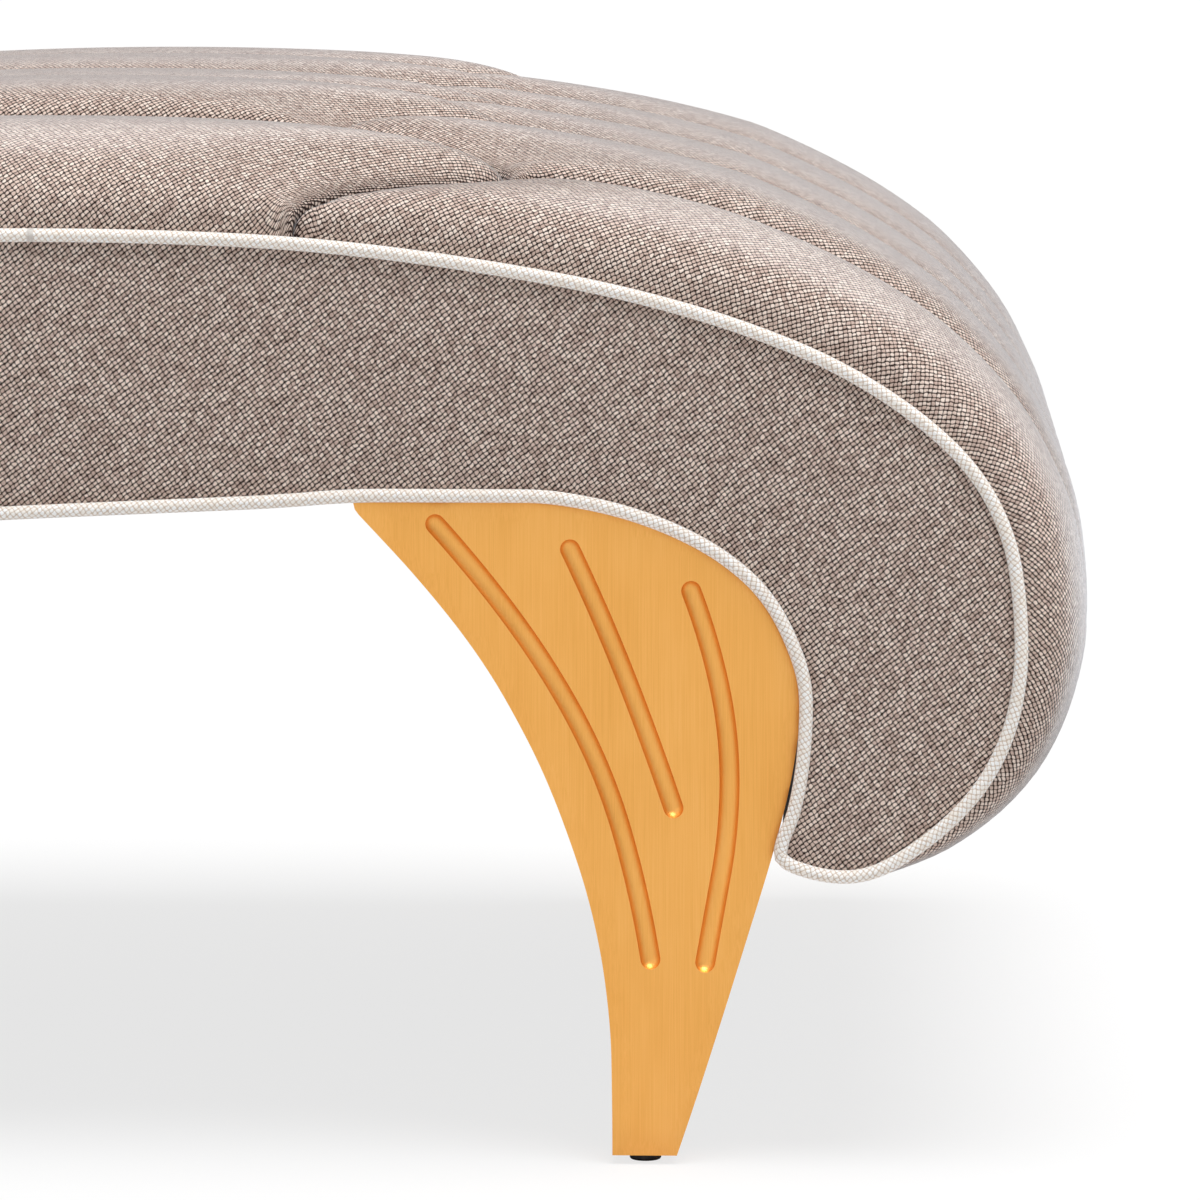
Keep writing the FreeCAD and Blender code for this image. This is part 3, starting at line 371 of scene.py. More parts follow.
# Turns a closed mesh's faces outward: each triangle and the origin enclose a sixth of a . (b x c), and a sum
# below zero means that the mesh came out inside out
def turnOutward(mesh):
    mesh.calc_loop_triangles()
    corners = np.empty(3 * len(mesh.loop_triangles), np.int32)
    mesh.loop_triangles.foreach_get("vertices", corners)
    points = np.empty(3 * len(mesh.vertices), np.float32)
    mesh.vertices.foreach_get("co", points)
    a, b, c = points.reshape(-1, 3)[corners.reshape(-1, 3)].astype(float).transpose(1, 0, 2)
    if np.einsum("ij,ij->", a, np.cross(b, c)) < 0:
        mesh.flip_normals()


def linkedObject(name, data):
    made = bpy.data.objects.new(name, data)
    bpy.context.scene.collection.objects.link(made)
    return made


# Puts vertices and faces into a new object with smooth shading, and a UV map in metres where it wears cloth
def meshPiece(name, vertices, faces, material, uv=None, smoothAngle=40, paintedSheenAndShade=None):
    mesh = bpy.data.meshes.new(name)
    mesh.from_pydata(vertices, [], faces)
    turnOutward(mesh)
    if uv is not None:
        loops = np.empty(len(mesh.loops), np.int32)
        mesh.loops.foreach_get("vertex_index", loops)
        layer = mesh.uv_layers.new(name="cloth")
        layer.data.foreach_set("uv", np.asarray(uv, np.float32)[loops].ravel())
    # A vertex value of painted light for the cloth: painted highlight on crowns, painted shade in seams
    if paintedSheenAndShade is not None:
        values = mesh.attributes.new("paintedSheenAndShade", "FLOAT", "POINT").data
        values.foreach_set("value", np.asarray(paintedSheenAndShade, np.float32))
    mesh.polygons.foreach_set("use_smooth", np.ones(len(mesh.polygons), bool))
    mesh.set_sharp_from_angle(angle=math.radians(smoothAngle))
    mesh.materials.append(material)
    mesh.update()
    return linkedObject(name, mesh)


# Quads of a grid of rows and columns, closed round either way where asked
def gridFaces(rows, columns, start=0, closeRows=False, closeColumns=False):
    r = np.arange(rows if closeRows else rows - 1)
    c = np.arange(columns if closeColumns else columns - 1)
    r, c = [a.ravel() for a in np.meshgrid(r, c, indexing="ij")]
    r1, c1 = (r + 1) % rows, (c + 1) % columns
    return np.stack([r * columns + c, r * columns + c1, r1 * columns + c1, r1 * columns + c], 1) + start


# A closed pad from a top grid and an under grid of equal shape: two skins and four walls between them
def closedPad(top, under):
    rows, columns = top.shape[:2]
    count = rows * columns
    index = np.arange(count).reshape(rows, columns)
    rim = np.concatenate([index[0, :], index[1:, -1], index[-1, -2::-1], index[-2:0:-1, 0]])
    following = np.roll(rim, -1)
    walls = np.stack([following, rim, rim + count, following + count], 1)
    faces = np.concatenate([gridFaces(rows, columns), gridFaces(rows, columns, count)[:, ::-1], walls])
    return np.concatenate([top.reshape(-1, 3), under.reshape(-1, 3)]), faces


# The channelled cover
channelSizes = {
    "count": 5,
    "base": 0.0012,            # underside, below the piping's centre line
    "edge": 0.0005,            # cover's height beside the piping
    "valley": 0.022,           # sewn valleys, above the piping's centre line
    "crest": 0.058,            # long channels between two valleys
    "sideCrest": 0.047,        # long channels beside the piping
    "endCrest": 0.054,         # end channels between two valleys
    "endSideCrest": 0.040,     # end channels beside the piping
    "crestLifts": (0, 0.0012, -0.0019, -0.0006, 0.0075),   # hand-stuffed: each long channel's own height
    "seamGap": 0.0004,         # between two sewn channels
    "seamDepth": 0.086,        # zigzag seam, tip to tip
    "footSeamRun": 0.316,      # foot nose back to the tips of the long channels
    "headSeamRun": 0.225,      # head crest down to the tips of the long channels
    "endCrestShare": 0.58,     # an outer end channel's crest, in half pitches from the piping
    "longCrestShare": 0.84,    # an outer long channel's crest, likewise
    "pipingEdge": 0.0033,      # cover's edge to the piping's centre line
    "fullPower": 3.2,          # section's power: 2 is an ellipse, more is stuffed fuller
    "tipPower": 2.4,           # the same down a tip
    "paintedSheenStart": 0.85,        # share of the rise where the painted highlight begins
    "columns": 61,
    "tipRows": 40,
    "rowPitch": 0.006,         # rows between the tips
    "paintedSeamShade": 3.0,             # how far painted shade opens the cloth's gaps in a seam
    "paintedSeamShadeReach": 0.0022,
    "puckerDepth": 0.0008,     # short gathers beside the zigzag seam
    "puckerPitch": 0.014,
    "puckerStart": 0.0025,
    "puckerReach": 0.011,
    "puckerUneven": 0.4,       # how much they differ, over a beat of many puckers
    "puckerBeat": 0.37,
    "lengthShare": 0.8,        # cloth along a channel is measured at this share of its crest
    "lengthStep": 0.002,
    "clothShift": 7.3,         # sets each channel's weave apart from its neighbour's, in crest places
}
# How full the channels are at stops of the outline: beside the piping, and between two valleys
footFullnessShares = [
    ("seatFall", 1.0, 1.0), ("shoulder", 1.0, 1.0), ("knee", 0.88, 0.83), ("brow", 0.73, 0.63),
    ("nose", 0.72, 0.61), ("chin", 0.55, 0.46), ("jaw", 0.34, 0.31), ("lip", 0.06, 0.06),
]
headFullnessShares = [
    ("rollStart", 0.06, 0.06), ("rollNose", 0.67, 0.61), ("headCrest", 0.84, 0.78), ("restTop", 1.0, 1.0),
]
pitch = outlineSizes["seatWidth"] / channelSizes["count"]
footTip = outlineRun + mark["nose"] - channelSizes["footSeamRun"]
headTip = mark["headCrest"] + channelSizes["headSeamRun"]
footLip = outlineRun + mark["lip"]
coverHalf = side - channelSizes["pipingEdge"]
fullnessRuns = [mark[row[0]] for row in headFullnessShares]
fullnessRuns += [outlineRun + mark[row[0]] for row in footFullnessShares]
fullnessSide = [row[1] for row in headFullnessShares + footFullnessShares]
fullnessInner = [row[2] for row in headFullnessShares + footFullnessShares]


# Height of the sewn valleys: a sine climb from the piping to the full valley over half a channel
def valleyAt(across, run):
    climb = np.sin(np.pi / 2 * np.minimum(1, 2 * np.maximum(0, side - np.abs(across)) / pitch))
    full = (channelSizes["valley"] - channelSizes["edge"]) * np.interp(run, fullnessRuns, fullnessInner)
    return channelSizes["edge"] + climb * full


# The zigzag seam is a cosine across the seat: how far it lies back from the long channels' tips
def seamBack(across):
    return channelSizes["seamDepth"] * (1 + np.cos(2 * np.pi * (across + side) / pitch)) / 2


# Slope of that cosine
def seamSlope(across):
    return channelSizes["seamDepth"] * np.pi / pitch * np.sin(2 * np.pi * (across + side) / pitch)


# Runs of a channel's rows at each of its columns: close together beside a zigzag seam, even elsewhere
def channelRuns(y, end):
    sizes = channelSizes
    near = 1 - np.cos(np.pi / 2 * np.linspace(0, 1, sizes["tipRows"]))
    zone = sizes["seamDepth"] + pitch / 2
    headSeam = headTip + seamBack(y) + sizes["seamGap"] / 2
    footSeam = footTip - seamBack(y) - sizes["seamGap"] / 2

    def evenRows(start, stop):
        return np.linspace(start, stop, max(3, int(abs(stop - start) / sizes["rowPitch"])))[1:]

    if end == "seat":
        first = headSeam + near[:, None] * (headTip + zone - headSeam)
        middle = evenRows(headTip + zone, footTip - zone)[:-1]
        last = footSeam + near[::-1, None] * (footTip - zone - footSeam)
        return np.concatenate([first, middle[:, None] + 0 * y, last])
    if end == "foot":
        first = footSeam + sizes["seamGap"] + near[:, None] * (footTip + pitch / 2 - footSeam)
        return np.concatenate([first, evenRows(footTip + pitch / 2, footLip)[:, None] + 0 * y])
    first = np.append(mark["rollStart"], evenRows(mark["rollStart"], headTip - pitch / 2)[:-1])
    last = headSeam - sizes["seamGap"] + near[::-1, None] * (headTip - pitch / 2 - headSeam)
    return np.concatenate([first[:, None] + 0 * y, last])


# Short gathers beside the zigzag: a wave along the seam, uneven from one to the next, that fades away from it
def puckers(y, fromSeam, topPlace):
    sizes = channelSizes
    slope = seamSlope(y)
    seamLine = np.cumsum(np.append(0, np.abs(np.diff(y)) * np.sqrt(1 + (slope[1:] + slope[:-1]) ** 2 / 4)))
    phase = 2 * np.pi * seamLine / sizes["puckerPitch"]
    unevenness = 1 - sizes["puckerUneven"] + sizes["puckerUneven"] * np.sin(sizes["puckerBeat"] * phase)
    wave = np.sin(phase + 3 * topPlace / pitch) * unevenness
    fade = (1 - np.exp(-fromSeam / sizes["puckerStart"])) * np.exp(-fromSeam / sizes["puckerReach"])
    return sizes["puckerDepth"] * wave * fade


# Lengths of cloth along and across a channel, true to its threads. Those across run over the crown, counted
# from the crest. Those along are the same for all columns, plus what each has more on its way down a tip
def clothLengths(run, y, height, fromSeam, crest, end):
    px, pz = place(run, height)
    climb = np.gradient(height, axis=0) / np.gradient(run, axis=0)
    slant = np.clip((climb[:, 1:] + climb[:, :-1]) / 2 * np.diff(run, axis=1) / np.diff(y), -1, 1)
    tilt = np.diff(height, axis=1) / np.diff(y) - slant
    across = np.concatenate([0 * px[:, :1], np.cumsum(np.diff(y) * np.sqrt(1 + tilt ** 2), 1)], 1)
    across -= across[:, len(y) // 2, None]

    runs = np.arange(mark["rollStart"], footLip, channelSizes["lengthStep"])
    fullness = np.interp(runs, fullnessRuns, fullnessInner)
    lineX, lineZ = place(runs, channelSizes["lengthShare"] * crest * fullness)
    lengths = np.append(0, np.cumsum(np.hypot(np.diff(lineX), np.diff(lineZ))))
    even = np.interp(run, runs, lengths)
    steps = np.hypot(np.diff(px, axis=0), np.diff(pz, axis=0))
    extra = np.where(fromSeam[1:] < pitch / 2, np.maximum(0, steps - np.abs(np.diff(even, axis=0))), 0)
    extra = np.concatenate([0 * px[:1], np.cumsum(extra, 0)])
    along = even + extra - extra[{"seat": len(extra) // 2, "foot": -1, "head": 0}[end]]
    return along, across


# One channel. Across it t runs from -1 to 1, with its crest at 0. Its height is the valley's plus a rise
# times a root of a blend of two curves, one across the channel and one away from the zigzag seam
def channelPiece(end, number, low, high, topPlace, crest, besidePiping):
    sizes = channelSizes
    t = np.sin(np.pi / 2 * np.linspace(-1, 1, sizes["columns"]))
    y = np.where(t < 0, topPlace + t * (topPlace - low), topPlace + t * (high - topPlace))
    run = channelRuns(y, end)
    cosine = 1 / np.sqrt(1 + seamSlope(y) ** 2)
    toHead = np.abs(run - headTip - seamBack(y)) * cosine
    toFoot = np.abs(run - footTip + seamBack(y)) * cosine
    fromSeam = np.minimum(toHead, toFoot)
    curveAcross = 1 - np.abs(t) ** sizes["fullPower"]
    curveAlong = 1 - (1 - np.minimum(1, fromSeam / (pitch / 2))) ** sizes["tipPower"]
    both = curveAcross * curveAlong
    risen = (both / np.maximum(1e-9, curveAcross + curveAlong - both)) ** (1 / sizes["fullPower"])
    fullness = np.interp(run, fullnessRuns, fullnessSide if besidePiping else fullnessInner)
    rise = np.maximum(0, crest * fullness - valleyAt(topPlace, run))
    height = valleyAt(y, run) + rise * risen + puckers(y, fromSeam, topPlace)

    # Painted light: over the crown the gaps close and the yarns lighten, a painted highlight, and towards
    # seams and valleys the gaps open, a painted shade
    paintedSheenAndShade = np.clip((risen - sizes["paintedSheenStart"]) / (1 - sizes["paintedSheenStart"]), 0, 1)
    paintedSheenAndShade = paintedSheenAndShade ** 2 * (3 - 2 * paintedSheenAndShade)
    toValley = np.where(t < 0, (1 + t) * (topPlace - low), (1 - t) * (high - topPlace))
    if besidePiping:
        toValley = np.where(t * topPlace > 0, side, toValley)
    paintedSheenAndShade -= sizes["paintedSeamShade"] * np.exp(-np.minimum(fromSeam, toValley) / sizes["paintedSeamShadeReach"])

    px, pz = place(run, height)
    ux, uz = place(run, -sizes["base"])
    wide = y + 0 * run
    vertices, faces = closedPad(np.stack([px, wide, pz], -1), np.stack([ux, wide, uz], -1))
    along, across = clothLengths(run, y, height, fromSeam, crest, end)
    uv = np.stack([along, across + sizes["clothShift"] * topPlace], -1).reshape(-1, 2)
    piece = meshPiece("%sChannel%d" % (end, number), vertices, faces, upholstery, np.concatenate([uv, uv]),
                      smoothAngle=70, paintedSheenAndShade=np.append(paintedSheenAndShade, 0 * paintedSheenAndShade))
    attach(piece, loungeBody)
    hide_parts("%s_channel_%d" % (end, number))


# Side by side across the seat; those of the two ends stand half a pitch aside of the long ones
seamHalf = channelSizes["seamGap"] / 2
for end in ("seat", "foot", "head"):
    count = channelSizes["count"] + (0 if end == "seat" else 1)
    for index in range(count):
        outer = {0: -1, count - 1: 1}.get(index, 0)
        centre = (index - (count - 1) / 2) * pitch
        low = max(-coverHalf, centre - pitch / 2 + seamHalf)
        high = min(coverHalf, centre + pitch / 2 - seamHalf)
        if end == "seat":
            topPlace = centre + outer * (1 - channelSizes["longCrestShare"]) * pitch / 2
            crest = channelSizes["sideCrest" if outer else "crest"] + channelSizes["crestLifts"][index]
        else:
            topPlace = centre - outer * channelSizes["endCrestShare"] * pitch / 2
            crest = channelSizes["endSideCrest" if outer else "endCrest"]
        channelPiece(end, index + 1, low, high, topPlace, crest, outer != 0)
print("channels ready")


# Distance from each point to the nearest stretch of a polyline, in portions that spare the memory
def distanceTo(points, line, closed=True):
    start = line if closed else line[:-1]
    step = (np.roll(line, -1, 0) if closed else line[1:]) - start
    size = np.maximum(1e-12, (step ** 2).sum(1))
    nearest = np.empty(len(points))
    for begin in range(0, len(points), 2000):
        chunk = points[begin:begin + 2000, None, :] - start
        share = np.clip((chunk * step).sum(2) / size, 0, 1)
        nearest[begin:begin + 2000] = np.sqrt(((chunk - share[..., None] * step) ** 2).sum(2).min(1))
    return nearest


# True for points inside a closed polyline: an odd count of crossings to one side
def isInside(points, line):
    inside = np.zeros(len(points), bool)
    for (x0, z0), (x1, z1) in zip(line, np.roll(line, -1, 0)):
        if z0 != z1:
            crosses = (points[:, 1] < z0) != (points[:, 1] < z1)
            inside ^= crosses & (points[:, 0] < x0 + (points[:, 1] - z0) * (x1 - x0) / (z1 - z0))
    return inside


# Points on a net inside a polyline, at least a margin from it, with every other row half a step aside
def netPoints(line, step, margin):
    low, high = line.min(0), line.max(0)
    x, z = np.meshgrid(np.arange(low[0], high[0], step), np.arange(low[1], high[1], step))
    x[1::2] += step / 2
    points = np.stack([x.ravel(), z.ravel()], 1)
    points = points[isInside(points, line)]
    return points[distanceTo(points, line) > margin]


# A closed plate in the XZ plane: triangles over an outline and inner points, a front and a back skin whose
# Y comes from two functions of the points, and walls between them. A bend lays the plate along a curve
def platePiece(name, line, inner, frontY, backY, material, smoothAngle=40, bend=None):
    points = [Vector(p) for p in np.concatenate([line, inner])]
    edges = [(i, (i + 1) % len(line)) for i in range(len(line))]
    flat, ignored, triangles = delaunay_2d_cdt(points, edges, [], 1, 1e-7)[:3]
    flat = np.array([(p.x, p.y) for p in flat])
    triangles = np.array(triangles)
    count = len(flat)
    front = np.insert(flat, 1, frontY(flat), axis=1)
    back = np.insert(flat, 1, backY(flat), axis=1)
    directed = np.concatenate([triangles[:, [0, 1]], triangles[:, [1, 2]], triangles[:, [2, 0]]])
    keys = directed[:, 0] * count + directed[:, 1]
    rim = directed[~np.isin(keys, directed[:, 1] * count + directed[:, 0])]
    walls = np.stack([rim[:, 1], rim[:, 0], rim[:, 0] + count, rim[:, 1] + count], 1)
    faces = triangles.tolist() + (triangles[:, ::-1] + count).tolist() + walls.tolist()
    vertices = np.concatenate([front, back])
    if bend:
        vertices = bend(vertices)
    return meshPiece(name, vertices, faces, material, np.concatenate([flat, flat]), smoothAngle)


panelSizes = {
    "thickness": 0.008,
    "edge": 0.0016,            # panel's edge inside the piping
    "sunk": 0.0016,            # cloth pulled in beside the piping
    "fill": 0.0012,            # pillow over the middle
    "fillReach": 0.009,
    "wave": 0.0002,            # cloth never lies quite flat
    "waveLengths": (0.31, 0.17),
    "wavePhases": (1.3, 0),
    "net": 0.009,
    "netMargin": 0.008,
    "edgeStep": 0.004,
    "ringsIn": (0.001, 0.0025, 0.0045),   # finer rings of points inside the edge
}
pipingSizes = {"sides": 18, "step": 0.003}
edgeRuns = np.linspace(0, outlineRun, int(outlineRun / panelSizes["edgeStep"]), endpoint=False)
panelLine = np.stack(place(edgeRuns, -panelSizes["edge"]), 1)
rings = [np.stack(place(edgeRuns, -panelSizes["edge"] - away), 1) for away in panelSizes["ringsIn"]]
panelInner = np.concatenate(rings + [netPoints(panelLine, panelSizes["net"], panelSizes["netMargin"])])


# Cloth over a thin pad: it leaves the piping sunk, and swells to its fill in an exponential
def bulge(points):
    phases = 2 * np.pi * points / panelSizes["waveLengths"] + panelSizes["wavePhases"]
    waves = panelSizes["wave"] * np.sin(phases).prod(1)
    swell = 1 - np.exp(-distanceTo(points, panelLine) / panelSizes["fillReach"])
    return (panelSizes["sunk"] + panelSizes["fill"]) * swell - panelSizes["sunk"] + waves


for name, sign in (("Right", -1), ("Left", 1)):
    panel = platePiece("sidePanel" + name, panelLine, panelInner, lambda p: sign * (side + bulge(p)),
                       lambda p: sign * (side - panelSizes["thickness"]) + 0 * p[:, 0], upholstery)
    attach(panel, loungeBody)
    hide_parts("side_panel_" + name.lower())

    # Piping: a circle carried along the closed outline
    runs = np.linspace(0, outlineRun, int(outlineRun / pipingSizes["step"]), endpoint=False)
    angles = np.linspace(0, 2 * np.pi, pipingSizes["sides"], endpoint=False)
    px, pz = place(runs[:, None], pipingRadius * np.cos(angles))
    py = sign * side + pipingRadius * np.sin(angles) + 0 * px
    faces = gridFaces(len(runs), len(angles), 0, True, True)
    uv = np.stack([runs[:, None] + 0 * px, pipingRadius * angles + 0 * px], -1).reshape(-1, 2)
    vertices = np.stack([px, py, pz], -1).reshape(-1, 3)
    piping = meshPiece("piping" + name, vertices, faces, pipingCloth, uv, smoothAngle=80)
    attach(piping, loungeBody)
    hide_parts("piping_" + name.lower())
print("side panels and piping ready")


# Outside back: a plain padded panel from the heel up to the roll, between the two pipings
backSizes = {"thickness": 0.0028, "fill": 0.002, "sunk": 0.001, "fillReach": 0.012, "inset": 0.0004,
             "rows": 150, "columns": 61}
xi = np.sin(np.pi / 2 * np.linspace(-1, 1, backSizes["columns"]))
runs = np.linspace(mark["lipHeel"] + backSizes["inset"], mark["rollStart"] - backSizes["inset"],
                   backSizes["rows"])
swell = 1 - np.exp(-(1 - np.abs(xi)) * side / backSizes["fillReach"])
height = (backSizes["fill"] + backSizes["sunk"]) * swell - backSizes["sunk"] + 0 * runs[:, None]
px, pz = place(runs[:, None], height)
ux, uz = place(runs[:, None], -backSizes["thickness"] + 0 * height)
y = coverHalf * xi + 0 * px
vertices, faces = closedPad(np.stack([px, y, pz], -1), np.stack([ux, y, uz], -1))
uv = np.stack([y, runs[:, None] + 0 * y], -1).reshape(-1, 2)
backPanel = meshPiece("backPanel", vertices, faces, upholstery, np.concatenate([uv, uv]), smoothAngle=50)
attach(backPanel, loungeBody)
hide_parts("back_panel")
print("back panel ready")


# Legs: a flat plate with three ball-nosed grooves in its outer face and softly rounded edges
legSizes = {
    "thickness": 0.030,
    "setback": 0.0064,         # piping's outer side to the leg's face
    "clearance": 0.0003,       # leg's top to the seat's underside
    "rebate": 0.0025,          # room for the mounting plate
    "lipGap": 0.0041,          # leg to the lip that it stands in
    "lipAngle": -103.4,        # the leg's heading where it leaves the lip
    "grooveRadius": 0.0046,
    "grooveDepth": 0.0032,
    "edgeRadius": 0.0012,
    "net": 0.007,
    "netMargin": 0.0035,
    "tipRunShare": 0.03,       # the tip, past the flat of the seat's underside
    "tipReach": 0.002,
    "tipTurn": (0.0018, -0.0078, 133),   # x and z from the tip, and the heading
    "tipLow": (0.0, -0.0032, 94),
    "step": 0.003,
    "gapPoints": 20,
    "grooveStep": 0.0015,
    "grooveEndPoints": 18,
    "grooveMarginShare": 1.8,  # net's distance from a groove, in half widths
}
legBackShares = [
    ("toeBack", 0.415, 0.0098, 90), ("shinBack", 0.416, 0.113, 91), ("ankleBack", 0.4228, 0.200, 97.7),
    ("calfLowBack", 0.4393, 0.287, 104.7), ("calfBack", 0.4658, 0.373, 110.2),
    ("kneeBack", 0.5016, 0.460, 117), ("thighBack", 0.5484, 0.5454, 123.8),
    ("thighHighBack", 0.6114, 0.631, 130.6),
]
legFrontShares = [("ankleFront", 0.291, 0.200, -106.9), ("toeFront", 0.3488, 0.0098, -108.8)]
grooveShares = [
    [(0.595, 0.6924, -48), (0.4565, 0.4929, -61.2), (0.376, 0.224, -81)],
    [(0.458, 0.666, -64.5), (0.3526, 0.388, -71.5)],
    [(0.335, 0.622, -69), (0.2956, 0.4117, -90.5), (0.320, 0.221, -99.8)],
]


# Points of an open chain of arcs, about as far apart as a step
def chainPoints(arcStops, step):
    arcs, marks, length = arcChain(arcStops, False)
    return np.stack(alongArcs(arcs, np.linspace(0, length - 1e-9, max(3, int(length / step)))), 1)


# Points along the seat's outline from one run to another, at a height outside it
def spanPoints(start, stop, height):
    runs = np.linspace(start, stop, max(2, int(abs(stop - start) / legSizes["step"])))
    return np.stack(place(runs, height), 1)


tipRun = mark["seatFlatEnd"] + legSizes["tipRunShare"] * outlineSizes["footReach"]
tipX, tipZ = place(tipRun, legSizes["clearance"])
tipX -= legSizes["tipReach"]
tipStops = [(name, tipX + legSizes[name][0], tipZ + legSizes[name][1], legSizes[name][2])
            for name in ("tipTurn", "tipLow")]

# Round the lip the gap to the leg widens as the root of a sine
widening = np.linspace(0, 1, legSizes["gapPoints"])[1:]
gapRuns = mark["calf"] + widening * (mark["throat"] - mark["calf"])
gapGrowth = legSizes["lipGap"] - legSizes["clearance"]
gapHeights = legSizes["clearance"] + gapGrowth * np.sqrt(np.sin(np.pi / 2 * widening))
frontStops = [("throat", *place(mark["throat"], legSizes["lipGap"]), legSizes["lipAngle"])]
frontStops += [footStop(*stop) for stop in legFrontShares]
legLine = np.concatenate([
    chainPoints([footStop(*stop) for stop in legBackShares] + tipStops, legSizes["step"]),
    [(tipX, tipZ)],
    spanPoints(tipRun, mark["seatFlatEnd"], legSizes["clearance"])[:-1],
    spanPoints(mark["seatFlatEnd"], mark["seatFlat"], legSizes["rebate"]),
    spanPoints(mark["seatFlat"], mark["calf"], legSizes["clearance"]),
    np.stack(place(gapRuns, gapHeights), 1),
    chainPoints(frontStops, legSizes["step"])[1:],
])
grooveLines = []
for shares in grooveShares:
    grooveStops = [footStop("groove%d" % i, *share) for i, share in enumerate(shares)]
    grooveLines.append(chainPoints(grooveStops, legSizes["grooveStep"]))
grooveCentre = legSizes["grooveRadius"] - legSizes["grooveDepth"]   # cutter's centre, outside the leg's face
grooveHalf = math.sqrt(legSizes["grooveRadius"] ** 2 - grooveCentre ** 2)


# Unit vectors at right angles to steps, to their left
def leftOf(step):
    return np.stack([-step[:, 1], step[:, 0]], 1) / np.linalg.norm(step, axis=1)[:, None]


# Points beside a line at a distance to both sides, and round its two ends
def beside(line, away):
    normal = leftOf(np.gradient(line, axis=0))
    angles = np.linspace(0, 2 * np.pi, legSizes["grooveEndPoints"], endpoint=False)
    circle = away * np.stack([np.cos(angles), np.sin(angles)], 1)
    points = np.concatenate([line + away * normal, line - away * normal, line[0] + circle, line[-1] + circle])
    return points[distanceTo(points, line, False) > away - 1e-5] if away else line


# Rings of points where the face curves: over each groove, in shares of its half width, and in from the
# leg's edge, in shares of the edge's radius
grooveRingShares = (0, 0.3, 0.55, 0.75, 0.9, 0.975, 1.0, 1.08, 1.3)
edgeRingShares = (0.1, 0.35, 0.7, 1.0, 1.6)
grooveRings = [beside(line, grooveHalf * share) for line in grooveLines for share in grooveRingShares]
edgeRings = []
normal = leftOf(np.roll(legLine, -1, 0) - np.roll(legLine, 1, 0))
for share in edgeRingShares:
    ring = legLine + normal * share * legSizes["edgeRadius"]
    ring = ring[isInside(ring, legLine)]
    edgeRings.append(ring[distanceTo(ring, legLine) > 0.98 * share * legSizes["edgeRadius"]])
net = netPoints(legLine, legSizes["net"], legSizes["netMargin"])
for line in grooveLines:
    net = net[distanceTo(net, line, False) > legSizes["grooveMarginShare"] * grooveHalf]
legInner = np.concatenate(grooveRings + edgeRings + [net])


# How far the leg's face lies back from its plane: a quarter circle at the edge, an arc over each groove
def faceBack(points, withGrooves):
    radius = legSizes["edgeRadius"]
    away = np.minimum(distanceTo(points, legLine), radius)
    back = radius - np.sqrt(np.maximum(0, radius ** 2 - (radius - away) ** 2))
    if withGrooves:
        for line in grooveLines:
            away = distanceTo(points, line, False)
            cutter = np.sqrt(np.maximum(0, legSizes["grooveRadius"] ** 2 - away ** 2))
            back = np.maximum(back, cutter - grooveCentre)
    return back


legFace = side + pipingRadius - legSizes["setback"]
firstLeg = platePiece("legFootRight", legLine, legInner, lambda p: -legFace + faceBack(p, True),
                      lambda p: -legFace + legSizes["thickness"] - faceBack(p, False), gold, smoothAngle=50)


# A mirrored copy: each vertex reflected in X, Y or both, with the faces turned back outwards
def mirroredPiece(source, name, inX, inY):
    mesh = source.data.copy()
    mesh.name = name
    points = np.empty(3 * len(mesh.vertices), np.float32)
    mesh.vertices.foreach_get("co", points)
    points = points.reshape(-1, 3)
    if inX:
        points[:, 0] = 2 * middleX - points[:, 0]
    if inY:
        points[:, 1] = -points[:, 1]
    mesh.vertices.foreach_set("co", points.ravel())
    turnOutward(mesh)
    return linkedObject(name, mesh)


# The four corners, as end, side and whether each is the first one's mirror image in X and in Y
legCorners = [("Foot", "Right", False, False), ("Foot", "Left", False, True),
              ("Head", "Right", True, False), ("Head", "Left", True, True)]
for end, hand, inX, inY in legCorners:
    leg = mirroredPiece(firstLeg, "leg" + end + hand, inX, inY) if inX or inY else firstLeg
    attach(leg, loungeBody)
    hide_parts("leg_%s_%s" % (end.lower(), hand.lower()))
print("legs ready")


# Dust cover: black felt stretched under the seat from lip to lip, notched round the four mounting plates
coverSizes = {
    "thickness": 0.001,
    "air": 0.0003,             # to the panels, the lips and the mounting plates
    "wave": 0.0002,
    "waveReach": (0.043, 0.031),
    "net": 0.014,
    "netFiner": (4, 1),        # closer along the bend, so that the felt follows the lips
    "netMargin": 0.006,
    "edgeStep": 0.0035,
    "plateLength": 0.056,
    "plateWidth": 0.084,
    "plateSetback": 0.002,     # side panel to the plate
}
coverReach = side - panelSizes["thickness"] - coverSizes["air"]
notchReach = coverReach - coverSizes["plateSetback"] - coverSizes["plateWidth"] - coverSizes["air"]
notchHalf = coverSizes["plateLength"] / 2 + coverSizes["air"]
edge = [mark["lip"] + coverSizes["air"]]
for end in ("", "Heel"):
    centre = (mark["seatFlat" + end] + mark["seatFlatEnd" + end]) / 2
    edge += [centre - notchHalf] * 2 + [centre + notchHalf] * 2
edge.append(mark["lipHeel"] - coverSizes["air"])
reach = [coverReach] + [coverReach, notchReach, notchReach, coverReach] * 2 + [coverReach]
edgeLeft = np.stack([edge, reach], 1)
corners = np.concatenate([edgeLeft, edgeLeft[::-1] * (1, -1)])
coverLine = []
for start, stop in zip(corners, np.roll(corners, -1, 0)):
    count = max(2, int(np.linalg.norm(stop - start) / coverSizes["edgeStep"]))
    coverLine.append(np.linspace(start, stop, count, endpoint=False))
coverLine = np.concatenate(coverLine)


# The felt's outer face, in small waves just inside the outline
def coverOuter(points):
    waves = np.sin(points / coverSizes["waveReach"]).prod(1)
    return coverSizes["wave"] * (waves - 1)


# Lays a flat plate of (run, height, Y) along the outline
def alongSeat(vertices):
    px, pz = place(vertices[:, 0], vertices[:, 1])
    return np.stack([px, vertices[:, 2], pz], 1)


